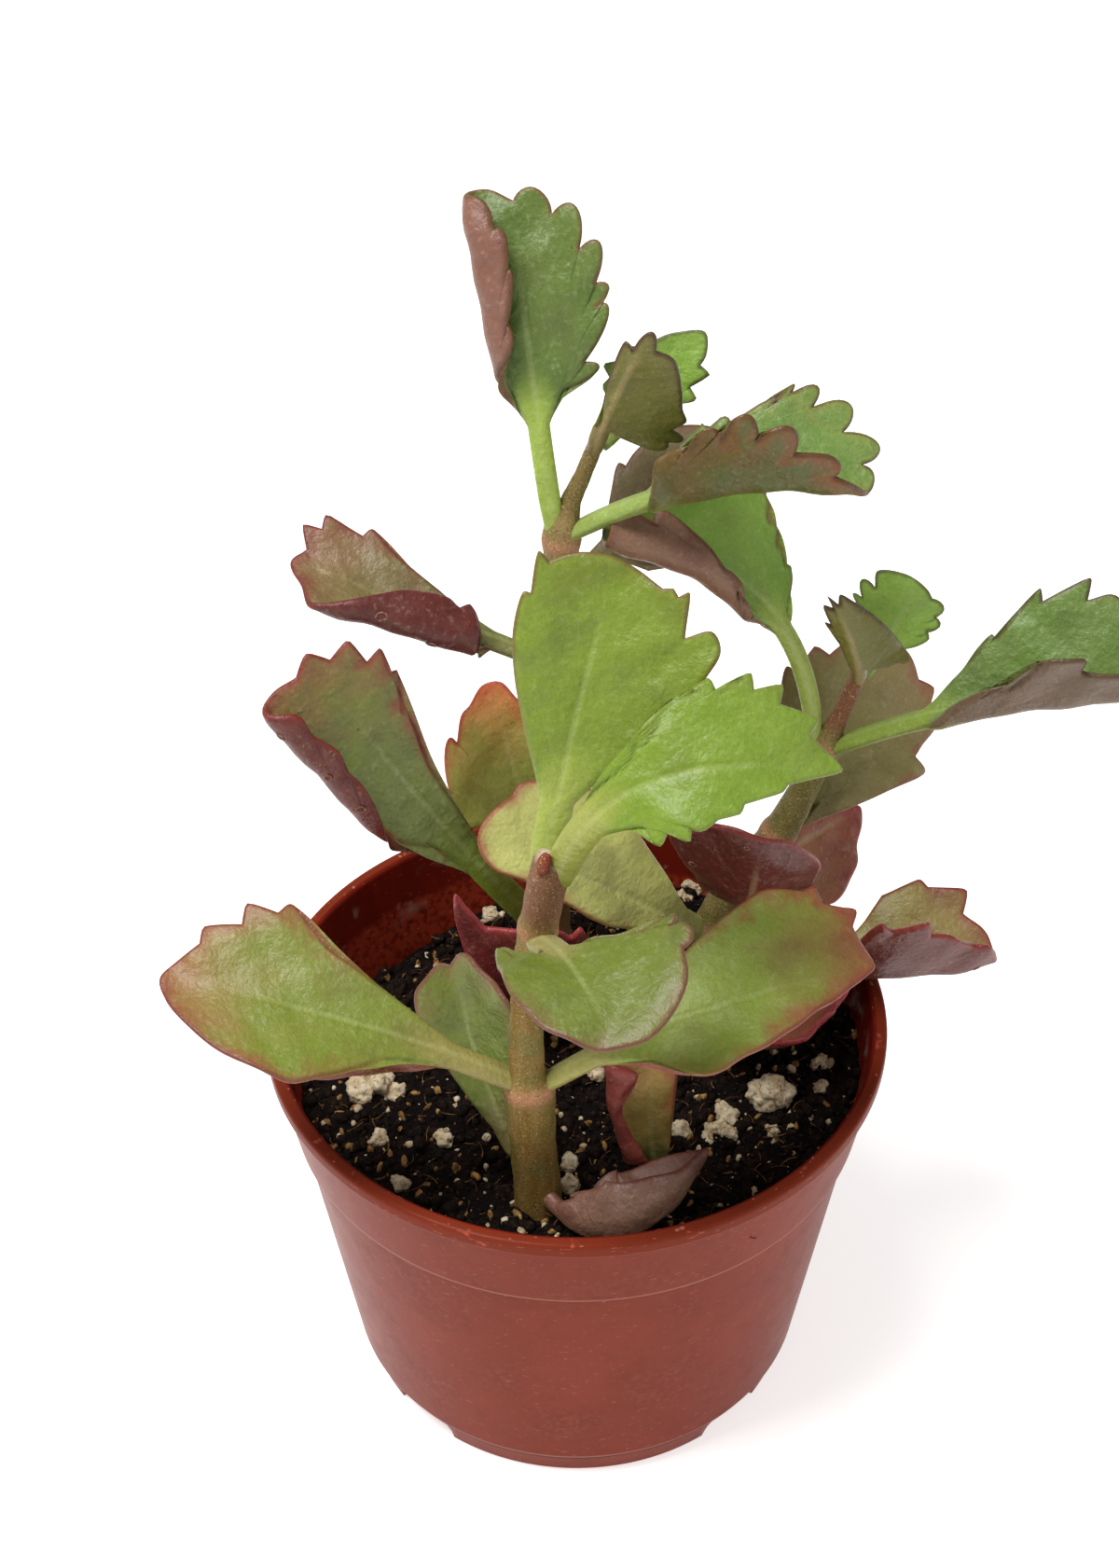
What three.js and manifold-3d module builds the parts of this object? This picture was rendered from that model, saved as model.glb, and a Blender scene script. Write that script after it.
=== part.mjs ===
// A potted kalanchoe longiflora: a nursery pot filled with soil, three stems, their scalloped leaves
// and young leaves. Millimetres, +Z up, the origin on the pot's axis at the surface it stands on.
// Seen from the front, +X is to the right and +Y is away from the viewer.
import * as THREE from 'three';
import { mergeVertices } from 'three/addons/utils/BufferGeometryUtils.js';
import Module from 'manifold-3d';

const wasm = await Module();
wasm.setup();

// Pot
const POT_HEIGHT = 74.3;
const RIM_RADIUS = 52.5;
const LIP_WIDTH = 2.3;
const LIP_HEIGHT = 3.2;
const LIP_UNDERCUT = 0.5;
const LIP_BEVEL = 0.6;
const LIP_OVERHANG = 1;
const COLLAR_LOW_Z = 57;
const COLLAR_LOW_RADIUS = 48.9;
const COLLAR_STEP = 0.9;
const COLLAR_SLOPE = 0.4;
const BODY_LOW_RADIUS = 40.1;
const FOOT_HEIGHT = 5;
const FOOT_TOP_RADIUS = 39.5;
const FOOT_RADIUS = 38.1;
const FOOT_WIDTH = 2.6;
const FOOT_STEP = 0.8;
const FOOT_SLOPE = 1;
const WALL = 1.3;
const FLOOR_THICKNESS = 1.8;
const FLOOR_RISE = 3.6;
const FLOOR_CORNER = 3;
const FLOOR_PAD_RADIUS = 9;
const FLOOR_PAD_SLOPE = 2;
const DRAIN_GAP_DEGREES = 20;
const DRAIN_GAPS = 4;
const FIRST_DRAIN_GAP_DEGREES = 45;
// How far a drain gap's cut starts inside the foot ring, and how far it starts under the pot
const DRAIN_GAP_INSIDE = 1.5;
const DRAIN_GAP_UNDER = 1;
const DRAIN_HOLES = 6;
const DRAIN_HOLE_RADIUS = 3;
const DRAIN_HOLE_CIRCLE = 24;
const DRAIN_HOLE_DRILL = 12;
const DRAIN_HOLE_SIDES = 10;
const POT_SEGMENTS = 40;

// Soil: level at the middle, its slope to the right and the hollow at the back left
const SOIL_LEVEL = 62.5;
const SOIL_SLOPE = 0.06;
const SOIL_HOLLOW = { x: -33, y: 33, depth: 6, spread: 18 };
const SOIL_BUMP = 0.7;
// The lumps are two crossing waves, these angles in radians for each mm
const SOIL_FINE = { x: 0.61, y: 0.53, shift: 1.3 };
const SOIL_BROAD = { sum: 0.37, difference: 0.71 };
const SOIL_GAP = 0.6;
const SOIL_CORNER = 3;
const SOIL_SIDE_Z = 46;
const SOIL_RINGS = 8;
const SOIL_SEGMENTS = 36;
// The soil's edge and the wall's slope depend on each other, so the edge is found in a few passes
const SOIL_EDGE_PASSES = 4;

// Pieces that touch keep this gap
const SEAT_GAP = 0.3;

// The hole in the soil for the one leaf that stands in it
const LEAF_HOLE_RADIUS = 4.2;
const LEAF_HOLE_HEIGHT = 8;
const LEAF_HOLE_DEPTH = 0.6;
const LEAF_HOLE_SIDES = 12;

// Leaf thickness: along the stalk, at the middle of the blade and at the scalloped edge
const STALK_THICKNESS = 2.8;
const BLADE_THICKNESS = 2;
const EDGE_THICKNESS = 1;
const YOUNG_STALK_THICKNESS = 1.8;
const YOUNG_BLADE_THICKNESS = 1.3;
// The stalk's thickness goes over to the blade's within this first share of the blade
const THINNING_SHARE = 0.5;
// The edge is thin only close to the margin, by this power
const EDGE_POWER = 4;
// The middle surface lies this share of the thickness under the upper side
const UPPER_SHARE = 0.4;
// The blade starts to fold at this share of the stalk and is fully folded this much further on
const FOLD_START = 0.7;
const FOLD_LENGTH = 0.6;
// The fold is rounded over this distance to each side of the midrib
const FOLD_ROUNDING = 3;
// How fast the columns fan out, and the stalk's width at its foot
const FAN_POWER = 1.1;
const FOOT_NARROWING = 0.8;
// A curl is the extra turn in degrees at this distance from the midrib, and it grows with the square
const CURL_REACH = 20;
const CURL_STEPS = 16;
// A rolled margin makes its turn within this width
const ROLL_LENGTH = 5;
const STALK_ROW_LENGTH = 13;
const BLADE_ROW_LENGTH = 9;
const BLADE_ROWS_AT_MOST = 4;
const ROLLED_BLADE_ROWS = 6;

const GREEN = 0x7d9a3c;
const BRIGHT_GREEN = 0x86b43a;
const OLIVE = 0x7c7a48;
const RED_BROWN = 0x7a4238;
const STEM_BROWN = 0x8a7450;
const POT_RED = 0xa5503c;
const SOIL_BLACK = 0x2a211c;
const POT_ROUGHNESS = 0.45;
const STEM_ROUGHNESS = 0.7;
const LEAF_ROUGHNESS = 0.5;
const SOIL_ROUGHNESS = 0.95;

// Stems: points up the middle, each with x, y, z and the radius there
const STEMS = {
  stem_front: {
    path: [[-6.4, -32, 48, 4], [-6.4, -32, 62, 3.9], [-7.2, -32, 76, 3.7], [-7.6, -32, 88, 4.1],
      [-7.9, -32, 93, 2.8], [-7.8, -32, 106, 2.6], [-6.6, -32, 118, 2.9], [-5.6, -32, 125, 2.9],
      [-4.3, -32, 133, 3], [-3.9, -32, 136.5, 2.6]],
    color: STEM_BROWN,
  },
  stem_tall: {
    path: [[-4.6, 17.5, 48, 3.3], [-4.6, 17.5, 64, 3.4], [-4.2, 17.5, 78, 3.3], [-3.8, 17.5, 96, 3],
      [-3, 17.5, 120, 2.8], [-2.6, 17.5, 136, 2.9], [-2.1, 17.5, 150, 2.7], [-1.9, 17.5, 161, 2.9],
      [-0.6, 17.4, 166, 1.6], [1.6, 17.2, 172, 1.3], [3.6, 17, 178, 1.2]],
    color: STEM_BROWN,
  },
  stem_right: {
    path: [[22, 21, 48, 3.2], [22.4, 21, 66, 3.2], [24.6, 21, 77, 3.2], [29, 21, 87, 3],
      [34.6, 21, 96, 3], [38.6, 21, 106, 2.4], [41.5, 21, 115, 2.3], [43.6, 21, 121, 1.5],
      [46.6, 21, 131, 1.3]],
    color: STEM_BROWN,
  },
};
const STEM_SIDES = 10;
const STEM_STEP = 7;

// The small bud left at the front stem's pinched-out top
const BUD_SIDES = 8;
const BUD_RINGS = 6;
const BUD = { place: [-5.4, -34.2, 137.4], radius: 1.2, stretch: 2, tilt: 8 };

// Leaves. foot, bend and tip are the control points of the midrib's curve. faces gives where the upper
// side looks at the foot and at the tip: degrees round from +X, then degrees up. fold and curl are in
// degrees for the left and the right half, seen from the stalk. stalk is its length and half width.
// roll is for a left half that is rolled up: how far from the midrib the roll starts at the foot and at
// the tip, and its turn in degrees. edge goes round the scallops and the notches between them, from the
// left by way of the tip to the right: how far along the midrib, and how far to the left of it.
const LEAVES = {
  leaf_front_left: {
    stem: 'stem_front', foot: [-8, -32, 89], bend: [-30, -37, 108], tip: [-64, -30, 111],
    faces: [[-90, 72], [-90, 72]], fold: [12, 14], curl: [25, 0], stalk: [14, 2.1], color: GREEN,
    edge: [[25.5, 5], [32.5, 10.5], [38.5, 14], [44, 13.5], [50, 11], [56, 7.5], [59.5, 4], [61.5, 0],
      [57, -6.5], [57, -9.5], [51.5, -11], [51.5, -14.5], [46.5, -14], [45, -16], [41.5, -13.5],
      [37.5, -10.5]],
  },
  leaf_front_right: {
    stem: 'stem_front', foot: [-6, -32, 89], bend: [14, -40, 114], tip: [46, -24, 106],
    faces: [[-90, 72], [-90, 72]], fold: [5, 5], curl: [0, 60], stalk: [13, 1.9], color: GREEN,
    edge: [[33.5, 11.5], [46.5, 17], [54.5, 15.5], [56.5, 16], [57, 13], [60, 11.5], [62, 10.5],
      [60.5, 8], [61, 0.5], [58.5, -1], [46.5, -6], [38, -9.5], [30, -11.5], [22, -5.5]],
  },
  leaf_front_near: {
    stem: 'stem_front', foot: [-6, -34, 122], bend: [1, -49, 130], tip: [4, -60, 126],
    faces: [[-70, 80], [-90, 85]], fold: [15, 10], curl: [20, 10], stalk: [7, 2.6], color: GREEN,
    edge: [[10, 5.5], [14, 12], [14.5, 17], [16, 15.5], [18.5, 18], [20.5, 15.5], [24.5, 14], [28, 10],
      [30.5, 5.5], [30.5, 2], [29, -3.5], [24.5, -8.5], [17, -11], [10, -10], [-2, -6], [4.5, -5.5]],
  },
  leaf_front_upper_back: {
    stem: 'stem_front', foot: [-5, -31, 133], bend: [-2, -24, 150], tip: [6, -12, 176],
    faces: [[-95, 25], [-95, 15]], fold: [10, 10], curl: [0, 0], stalk: [11, 2.6], color: GREEN,
    edge: [[19.5, 6.5], [27.5, 10], [34, 12], [40.5, 12], [40.5, 11], [46.5, 11.5], [45.5, 9.5],
      [47.5, 6.5], [48.5, 1], [46, -7.5], [46.5, -9], [45.5, -10], [46.5, -11.5], [40, -12.5],
      [42, -16], [39.5, -18], [35, -17], [27, -14], [22.5, -10.5]],
  },
  leaf_front_upper_right: {
    stem: 'stem_front', foot: [-3, -33, 133], bend: [4, -40, 166], tip: [38, -32, 152],
    faces: [[-90, 50], [-90, 50]], fold: [5, 5], curl: [0, 0], stalk: [14, 2.6], color: BRIGHT_GREEN,
    edge: [[24, 3.5], [27, 7], [27.5, 5.5], [32, 11], [33, 10], [36, 13], [37, 10.5], [41, 13.5],
      [41.5, 11], [45.5, 12], [45, 9], [50.5, 7.5], [49.5, 5], [55, 0.5], [46.5, -2.5], [45, -4],
      [39.5, -5.5], [38.5, -7], [35, -7.5], [32, -9], [30.5, -8], [29.5, -10], [26.5, -7.5], [24, -9],
      [22.5, -5.5]],
  },
  leaf_front_low_left: {
    stem: 'stem_front', foot: [-9, -30, 71], bend: [-18, -22, 88], tip: [-19, -17, 103],
    faces: [[-120, 30], [-120, 30]], fold: [30, 30], curl: [0, 0], stalk: [6, 2.6], color: GREEN,
    edge: [[22.5, 7], [28, 8], [31, 7.5], [33, 5.5], [35, 3], [34.5, 1.5], [37, -1], [35, -7],
      [31.5, -12.5], [24.5, -12], [16, -8]],
  },
  leaf_front_low_right: {
    stem: 'soil', foot: [13, -25, 60], bend: [11, -25, 75], tip: [12, -21, 88],
    faces: [[-80, 30], [-80, 30]], fold: [0, 10], curl: [0, 0], stalk: [6, 2.6], color: OLIVE,
    roll: [1, 6, 165],
    edge: [[8, 9], [12.5, 8.5], [17.5, 8.5], [21, 10], [25, 13.5], [27, 4], [28, 0], [27, -4],
      [22.5, -4.5], [15, -4], [6.5, -3]],
  },
  leaf_front_low_soil: {
    stem: 'stem_front', foot: [-5, -34, 66.5], bend: [8, -50, 61], tip: [21, -33, 77],
    faces: [[90, 25], [90, 25]], fold: [100, 60], curl: [0, 0], stalk: [3, 1.6], color: RED_BROWN,
    edge: [[6, 4], [6.5, 10.5], [26.5, 9], [32, 5], [34.5, 0], [29, -2.5], [24, -6], [13.5, -9],
      [4.5, -4.5], [5, -4]],
  },
  leaf_tall_top_left: {
    stem: 'stem_tall', foot: [-3, 17, 160], bend: [-6.5, 14, 188], tip: [-9, 30, 212],
    faces: [[-90, 25], [-95, 10]], fold: [0, 5], curl: [0, 0], stalk: [20, 1.7], color: GREEN,
    roll: [0, 5, 165],
    edge: [[22, 2.5], [25.5, 3.5], [29.5, 6.5], [34, 10], [37, 10], [42.5, 12.5], [44, 12],
      [48.5, 13.5], [50, 12], [53, 12], [54.5, 11], [56, 6], [56, 3.5], [54, 0], [55.5, -3.5],
      [51.5, -5.5], [52, -9.5], [46, -9], [46.5, -12.5], [41, -11], [40, -13], [37.5, -10.5],
      [36, -12.5], [29.5, -8], [28, -10], [25.5, -4.5]],
  },
  leaf_tall_young_front: {
    stem: 'stem_tall', foot: [3, 16.4, 176], bend: [4, 14, 183], tip: [11, 12, 199],
    faces: [[90, -20], [90, -20]], fold: [10, 10], curl: [0, 0], stalk: [5, 1.4], color: OLIVE, young: true,
    edge: [[3.5, 7], [4, 10], [6, 10], [6.5, 12.5], [8.5, 10], [11, 11.5], [13.5, 10], [17, 8.5],
      [22, 5], [22.5, 2], [25, 0], [21, -1], [21.5, -2.5], [16.5, -2.5], [11, -1.5], [6.5, -0.5]],
  },
  leaf_tall_young_rear: {
    stem: 'stem_tall', foot: [4, 17.6, 176], bend: [11, 23, 181], tip: [17, 26, 191],
    faces: [[-80, 35], [-80, 35]], fold: [10, 10], curl: [0, 0], stalk: [6, 1.4], color: GREEN, young: true,
    edge: [[6, 3.5], [7, 6], [9, 6], [10, 8], [12, 6.5], [14.5, 7], [16, 4.5], [19.5, 2.5], [21, 1],
      [23, -2.5], [20, -4.5], [18.5, -4.5], [18, -6.5], [15, -5], [14, -7], [12.5, -5]],
  },
  leaf_tall_top_right: {
    stem: 'stem_tall', foot: [-1.5, 17, 160], bend: [19, 8, 180], tip: [45, 14, 170],
    faces: [[-90, 75], [-90, 75]], fold: [35, 95], curl: [0, 0], stalk: [16, 1.7], color: OLIVE,
    edge: [[26, 10], [27, 8.5], [29, 10.5], [30, 9], [35, 12.5], [35.5, 11.5], [38.5, 15], [38.5, 13.5],
      [42, 15], [41.5, 11.5], [47, 13], [46.5, 8.5], [52.5, 7.5], [50, 4], [51.5, 0], [43.5, -5],
      [43, -8], [37.5, -9], [36.5, -14], [33, -12], [31.5, -16.5], [29, -12], [27.5, -15],
      [25.5, -11.5], [22.5, -11], [20.5, -9.5]],
  },
  leaf_tall_upper_rear: {
    stem: 'stem_tall', foot: [-2, 18, 145], bend: [12, 30, 160], tip: [30, 40, 160],
    faces: [[-90, 40], [-90, 40]], fold: [10, 10], curl: [0, 0], stalk: [12, 2.4], color: OLIVE,
    edge: [[13.5, 2], [16, 4.5], [22, 9.5], [22.5, 8.5], [25, 9.5], [30, 9.5], [33.5, 8.5], [39.5, 3.5],
      [40.5, -6.5], [34, -9.5], [24.5, -10.5], [19, -9.5], [14, -6.5]],
  },
  leaf_tall_upper_left: {
    stem: 'stem_tall', foot: [-3, 17, 135], bend: [-16, 12, 145], tip: [-43, 18, 154],
    faces: [[-90, 75], [-90, 75]], fold: [20, 20], curl: [0, 0], stalk: [12, 1.7], color: OLIVE,
    roll: [0, 8.5, 150],
    edge: [[14, 2], [18, 12.5], [20, 12], [22, 13.5], [28, 14], [32.5, 12.5], [38, 10.5], [41, 9],
      [43.5, 4.5], [46.5, 0], [45, -3], [47, -6.5], [44, -7], [44, -9.5], [37.5, -8.5], [36.5, -10],
      [32.5, -8], [23, -4.5]],
  },
  leaf_tall_low_left: {
    stem: 'stem_tall', foot: [-4, 17, 76], bend: [-25, 0, 118], tip: [-42, 4, 148],
    faces: [[-100, 45], [-80, 45]], fold: [10, 5], curl: [0, 0], stalk: [26, 2.4], color: GREEN,
    roll: [2.5, 9.5, 150],
    edge: [[31, 2.5], [39, 3.5], [52.5, 11.5], [60, 14.5], [65.5, 15], [69, 16.5], [73.5, 15.5],
      [78, 16], [81, 8.5], [80.5, 3.5], [82.5, 0], [79, -2.5], [80, -6.5], [75, -7], [75.5, -10],
      [71, -8.5], [70, -10], [63.5, -6.5], [61.5, -7], [52, -4.5]],
  },
  leaf_tall_low_rear: {
    stem: 'stem_tall', foot: [-4, 18, 93], bend: [-10, 23, 102], tip: [-14, 32, 120],
    faces: [[-90, 30], [-90, 30]], fold: [5, 5], curl: [0, 0], stalk: [8, 2.4], color: OLIVE,
    edge: [[10, 11], [15.5, 12.5], [16.5, 11.5], [23.5, 10], [23.5, 8], [28, 6], [29, 4.5], [32, 1.5],
      [32, -1.5], [29, -3.5], [22.5, -7], [14, -5.5]],
  },
  leaf_tall_low_front: {
    stem: 'stem_tall', foot: [-5, 17, 68], bend: [-10, -2, 68], tip: [-9, -4, 95],
    faces: [[90, 60], [90, 20]], fold: [30, 10], curl: [0, 0], stalk: [6, 2.4], color: RED_BROWN,
    edge: [[17.5, 14.5], [30.5, 14.5], [30, 13], [36.5, 11], [35, 9], [37.5, 7], [39.5, 2.5],
      [40.5, -0.5], [40.5, -6], [44.5, -9], [47, -11], [41, -11], [34, -9.5], [19.5, -3.5]],
  },
  leaf_right_low_left: {
    stem: 'stem_right', foot: [23, 20, 73], bend: [7, 7, 96.5], tip: [-16, 2.5, 110],
    faces: [[-90, 45], [-90, 45]], fold: [5, 5], curl: [0, 0], stalk: [9, 2.6], color: OLIVE,
    edge: [[18, 4], [27.5, 6], [38, 5], [46.5, 4], [53, 3.5], [56.5, 1], [57.5, -1.5], [56, -6],
      [53.5, -9], [53, -11], [46.5, -14], [37, -14], [30, -11.5]],
  },
  leaf_right_top_left: {
    stem: 'stem_right', foot: [39.6, 21, 115], bend: [38, 24, 149], tip: [5, 17.5, 160.8],
    faces: [[-110, 45], [-90, 70]], fold: [20, 10], curl: [0, 0], stalk: [24, 1.6], color: GREEN,
    roll: [1.5, 3.5, 150],
    edge: [[27, 2], [35, 6], [38.5, 6], [41, 8.5], [44, 8], [49, 10.5], [55.5, 13.5], [56.5, 10.5],
      [62.5, 12.5], [61.5, -3], [56, -8], [51.5, -12.5], [46.5, -15], [38.5, -14.5], [37, -11],
      [35.5, -11.5], [34.5, -8.5], [33.5, -8.5], [32, -7], [31, -7.5], [28.5, -4.5], [27.5, -2.5]],
  },
  leaf_right_top_right: {
    stem: 'stem_right', foot: [42, 21, 114], bend: [62, 8, 136], tip: [96, 8, 136],
    faces: [[-90, 75], [-90, 75]], fold: [40, 85], curl: [0, 0], stalk: [20, 1.8], color: GREEN,
    edge: [[27.5, 6.5], [31, 9], [33, 11.5], [34, 10.5], [41, 17.5], [41.5, 15.5], [48.5, 18.5],
      [48, 15], [52, 15.5], [56, 8], [60, 0], [57, -6], [51.5, -9], [46.5, -10], [47, -13.5],
      [42.5, -15], [39, -11.5], [36.5, -9], [32, -8], [28.5, -6.5]],
  },
  leaf_right_young_front: {
    stem: 'stem_right', foot: [46, 20.4, 129], bend: [46, 16, 137], tip: [40, 14, 150],
    faces: [[90, 10], [90, 10]], fold: [25, 25], curl: [0, 0], stalk: [4, 1.4], color: OLIVE, young: true,
    edge: [[3.5, 2], [3.5, 5.5], [4, 6.5], [3.5, 8.5], [5, 8], [13.5, 5.5], [20, 3], [23, 1.5],
      [21, 0.5], [23.5, -0.5], [20.5, -0.5], [21.5, -2], [17, -2], [17.5, -3], [13, -2], [7.5, -2]],
  },
  leaf_right_young_rear: {
    stem: 'stem_right', foot: [47, 21.6, 129], bend: [51, 26, 133], tip: [56, 28, 143],
    faces: [[-90, 35], [-90, 35]], fold: [0, 0], curl: [0, 0], stalk: [5, 1.4],
    color: BRIGHT_GREEN, young: true,
    edge: [[9, 5.5], [10.5, 8.5], [11, 7], [13.5, 8.5], [13.5, 6], [16, 7], [18, 2.5], [17.5, -1.5],
      [16.5, -3], [16, -5.5], [14, -5], [13, -6.5], [11.5, -5], [10.5, -6], [8.5, -5], [7, -3.5]],
  },
  leaf_right_rear: {
    stem: 'stem_right', foot: [35, 22, 96], bend: [45, 28, 114], tip: [63, 42, 107],
    faces: [[-90, 35], [-90, 35]], fold: [5, 5], curl: [0, 0], stalk: [7, 2.6], color: OLIVE,
    edge: [[11, 8], [15.5, 14.5], [18, 17.5], [18.5, 15.5], [22, 17.5], [23, 15], [25.5, 15.5],
      [30, 15.5], [34, 10.5], [35.5, 5], [38.5, 3], [37.5, 0], [39.5, -3], [29.5, -7.5], [31, -10.5],
      [16, -9.5], [5, -5], [0.5, -2]],
  },
  leaf_right_mid_rear: {
    stem: 'stem_right', foot: [30, 22, 86], bend: [39, 30, 85], tip: [51, 44, 82],
    faces: [[-70, 40], [-70, 40]], fold: [5, 5], curl: [0, 20], stalk: [6, 2.4], color: RED_BROWN,
    edge: [[21, 3], [31, 0], [26, -5.5], [22, -9], [13.5, -12], [9.5, -9.5], [7.5, -4]],
  },
  leaf_right_mid_front: {
    stem: 'stem_right', foot: [29, 20, 88], bend: [28, 2, 90], tip: [29, -6, 116],
    faces: [[90, 60], [90, 20]], fold: [15, 25], curl: [0, 0], stalk: [6, 2.4], color: RED_BROWN,
    edge: [[19, 10], [28.5, 11.5], [35, 9], [41, 4], [44, -2.5], [43.5, -7], [39, -11.5], [34.5, -15],
      [27.5, -12], [3.5, -4.5]],
  },
  leaf_right_low_right: {
    stem: 'stem_right', foot: [25, 21, 76], bend: [43, 3.5, 75.5], tip: [71, 8, 79.5],
    faces: [[-90, 80], [-90, 80]], fold: [30, 75], curl: [0, 0], stalk: [22, 2.2], color: RED_BROWN,
    edge: [[30.5, 12.5], [38.5, 15], [40.5, 13.5], [48, 12], [46.5, 8], [50, 3.5], [48, -10], [46, -10],
      [42.5, -16.5], [39, -18.5], [38.5, -23.5], [33.5, -20], [32, -24], [29, -18]],
  },
  leaf_right_low_near: {
    stem: 'stem_right', foot: [23, 20, 69], bend: [32, 2, 62], tip: [38, -12, 80],
    faces: [[120, 70], [120, 30]], fold: [20, 20], curl: [0, 0], stalk: [8, 2.4], color: RED_BROWN,
    edge: [[22, 12], [25.5, 11.5], [28, 14], [31, 12], [34, 13], [34.5, 9], [38, 7], [37, 3.5], [39, 0],
      [37, -3.5], [38, -7], [35, -8.5], [34, -12], [31, -11], [28, -13], [25.5, -10.5], [22, -11]],
  },
};

// Corners closer than this are one corner
const MERGE_DISTANCE = 0.0001;

const radians = THREE.MathUtils.degToRad;

function mix(a, b, share) {
  return a + (b - a) * share;
}

// A closed body from points and triangles given as index triples.
function bodyFrom(points, triangles) {
  const geometry = new THREE.BufferGeometry();
  const numbers = points.flatMap((point) => point.toArray());
  geometry.setAttribute('position', new THREE.Float32BufferAttribute(numbers, 3));
  geometry.setIndex(triangles.flat());
  return geometry;
}

// A closed solid of a geometry, for joining and cutting.
function toSolid(geometry) {
  const bare = geometry.clone();
  bare.deleteAttribute('normal');
  bare.deleteAttribute('uv');
  const merged = mergeVertices(bare, MERGE_DISTANCE);
  const vertProperties = new Float32Array(merged.attributes.position.array);
  const triVerts = new Uint32Array(merged.index.array);
  return new wasm.Manifold(new wasm.Mesh({ numProp: 3, vertProperties, triVerts }));
}

function toGeometry(solid) {
  const mesh = solid.getMesh();
  const geometry = new THREE.BufferGeometry();
  geometry.setAttribute('position', new THREE.BufferAttribute(mesh.vertProperties, 3));
  geometry.setIndex(new THREE.BufferAttribute(mesh.triVerts, 1));
  return geometry;
}

// A closed tube through rings of points, each ring counter-clockwise seen from the far end.
function tubeBody(rings) {
  const sides = rings[0].length;
  const points = rings.flat();
  const triangles = [];
  for (let i = 0; i + 1 < rings.length; i += 1) {
    for (let j = 0; j < sides; j += 1) {
      const a = i * sides + j;
      const b = i * sides + ((j + 1) % sides);
      triangles.push([a, b, b + sides], [a, b + sides, a + sides]);
    }
  }
  for (let j = 1; j + 1 < sides; j += 1) {
    const last = (rings.length - 1) * sides;
    triangles.push([0, j + 1, j], [last, last + j, last + j + 1]);
  }
  return bodyFrom(points, triangles);
}

// The soil's height over the pot's floor plane at a place, with low lumps.
function soilHeight(x, y) {
  const { x: hx, y: hy, depth, spread } = SOIL_HOLLOW;
  const hollow = depth * Math.exp(-((x - hx) ** 2 + (y - hy) ** 2) / (2 * spread ** 2));
  const fine = Math.sin(x * SOIL_FINE.x + SOIL_FINE.shift) * Math.cos(y * SOIL_FINE.y);
  const broad = Math.sin((x + y) * SOIL_BROAD.sum) * Math.cos((x - y) * SOIL_BROAD.difference);
  return SOIL_LEVEL + SOIL_SLOPE * x - hollow + SOIL_BUMP * (fine + broad);
}

// The pot's inner radius at a height, along its straight tapered wall.
function innerRadius(z) {
  const share = (z - FOOT_HEIGHT) / (COLLAR_LOW_Z - FOOT_HEIGHT);
  if (share < 1) {
    return mix(BODY_LOW_RADIUS - WALL, COLLAR_LOW_RADIUS - COLLAR_STEP - WALL, share);
  }
  const above = (z - COLLAR_LOW_Z) / (POT_HEIGHT - COLLAR_LOW_Z);
  return mix(COLLAR_LOW_RADIUS - COLLAR_STEP - WALL, RIM_RADIUS - LIP_WIDTH, above);
}

// The pot's wall and floor as one turned profile, from the axis out along the underside and back inside.
function potShell() {
  const floorTop = FLOOR_RISE + FLOOR_THICKNESS;
  const lipLow = POT_HEIGHT - LIP_HEIGHT;
  const footInside = FOOT_RADIUS - FOOT_WIDTH;
  const cornerTop = floorTop + FLOOR_CORNER;
  const profile = [
    [0, 0],
    [FLOOR_PAD_RADIUS, 0],
    [FLOOR_PAD_RADIUS + FLOOR_PAD_SLOPE, FLOOR_RISE],
    [footInside - FOOT_SLOPE, FLOOR_RISE],
    [footInside, 0],
    [FOOT_RADIUS, 0],
    [FOOT_TOP_RADIUS, FOOT_HEIGHT],
    [BODY_LOW_RADIUS, FOOT_HEIGHT + FOOT_STEP],
    [COLLAR_LOW_RADIUS - COLLAR_STEP, COLLAR_LOW_Z - COLLAR_SLOPE],
    [COLLAR_LOW_RADIUS, COLLAR_LOW_Z],
    [RIM_RADIUS - LIP_OVERHANG, lipLow],
    [RIM_RADIUS, lipLow + LIP_UNDERCUT],
    [RIM_RADIUS, POT_HEIGHT - LIP_BEVEL],
    [RIM_RADIUS - LIP_BEVEL, POT_HEIGHT],
    [RIM_RADIUS - LIP_WIDTH, POT_HEIGHT],
    [innerRadius(COLLAR_LOW_Z), COLLAR_LOW_Z],
    [innerRadius(cornerTop), cornerTop],
    [innerRadius(cornerTop) - FLOOR_CORNER, floorTop],
    [0, floorTop],
  ];
  const outline = profile.map(([radius, z]) => new THREE.Vector2(radius, z));
  const lathe = new THREE.LatheGeometry(outline, POT_SEGMENTS);
  lathe.rotateX(Math.PI / 2);
  return toSolid(lathe);
}

// A wedge that cuts one drain gap through the foot ring, up to the floor.
function drainGap(middleDegrees) {
  const half = radians(DRAIN_GAP_DEGREES / 2);
  const inner = FOOT_RADIUS - FOOT_WIDTH - DRAIN_GAP_INSIDE;
  const outer = RIM_RADIUS;
  const shape = new THREE.Shape();
  shape.moveTo(inner * Math.cos(half), -inner * Math.sin(half));
  shape.lineTo(outer * Math.cos(half), -outer * Math.sin(half));
  shape.lineTo(outer * Math.cos(half), outer * Math.sin(half));
  shape.lineTo(inner * Math.cos(half), inner * Math.sin(half));
  const depth = FLOOR_RISE + DRAIN_GAP_UNDER;
  const wedge = new THREE.ExtrudeGeometry(shape, { depth, bevelEnabled: false });
  wedge.translate(0, 0, -DRAIN_GAP_UNDER);
  wedge.rotateZ(radians(middleDegrees));
  return toSolid(wedge);
}

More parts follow.
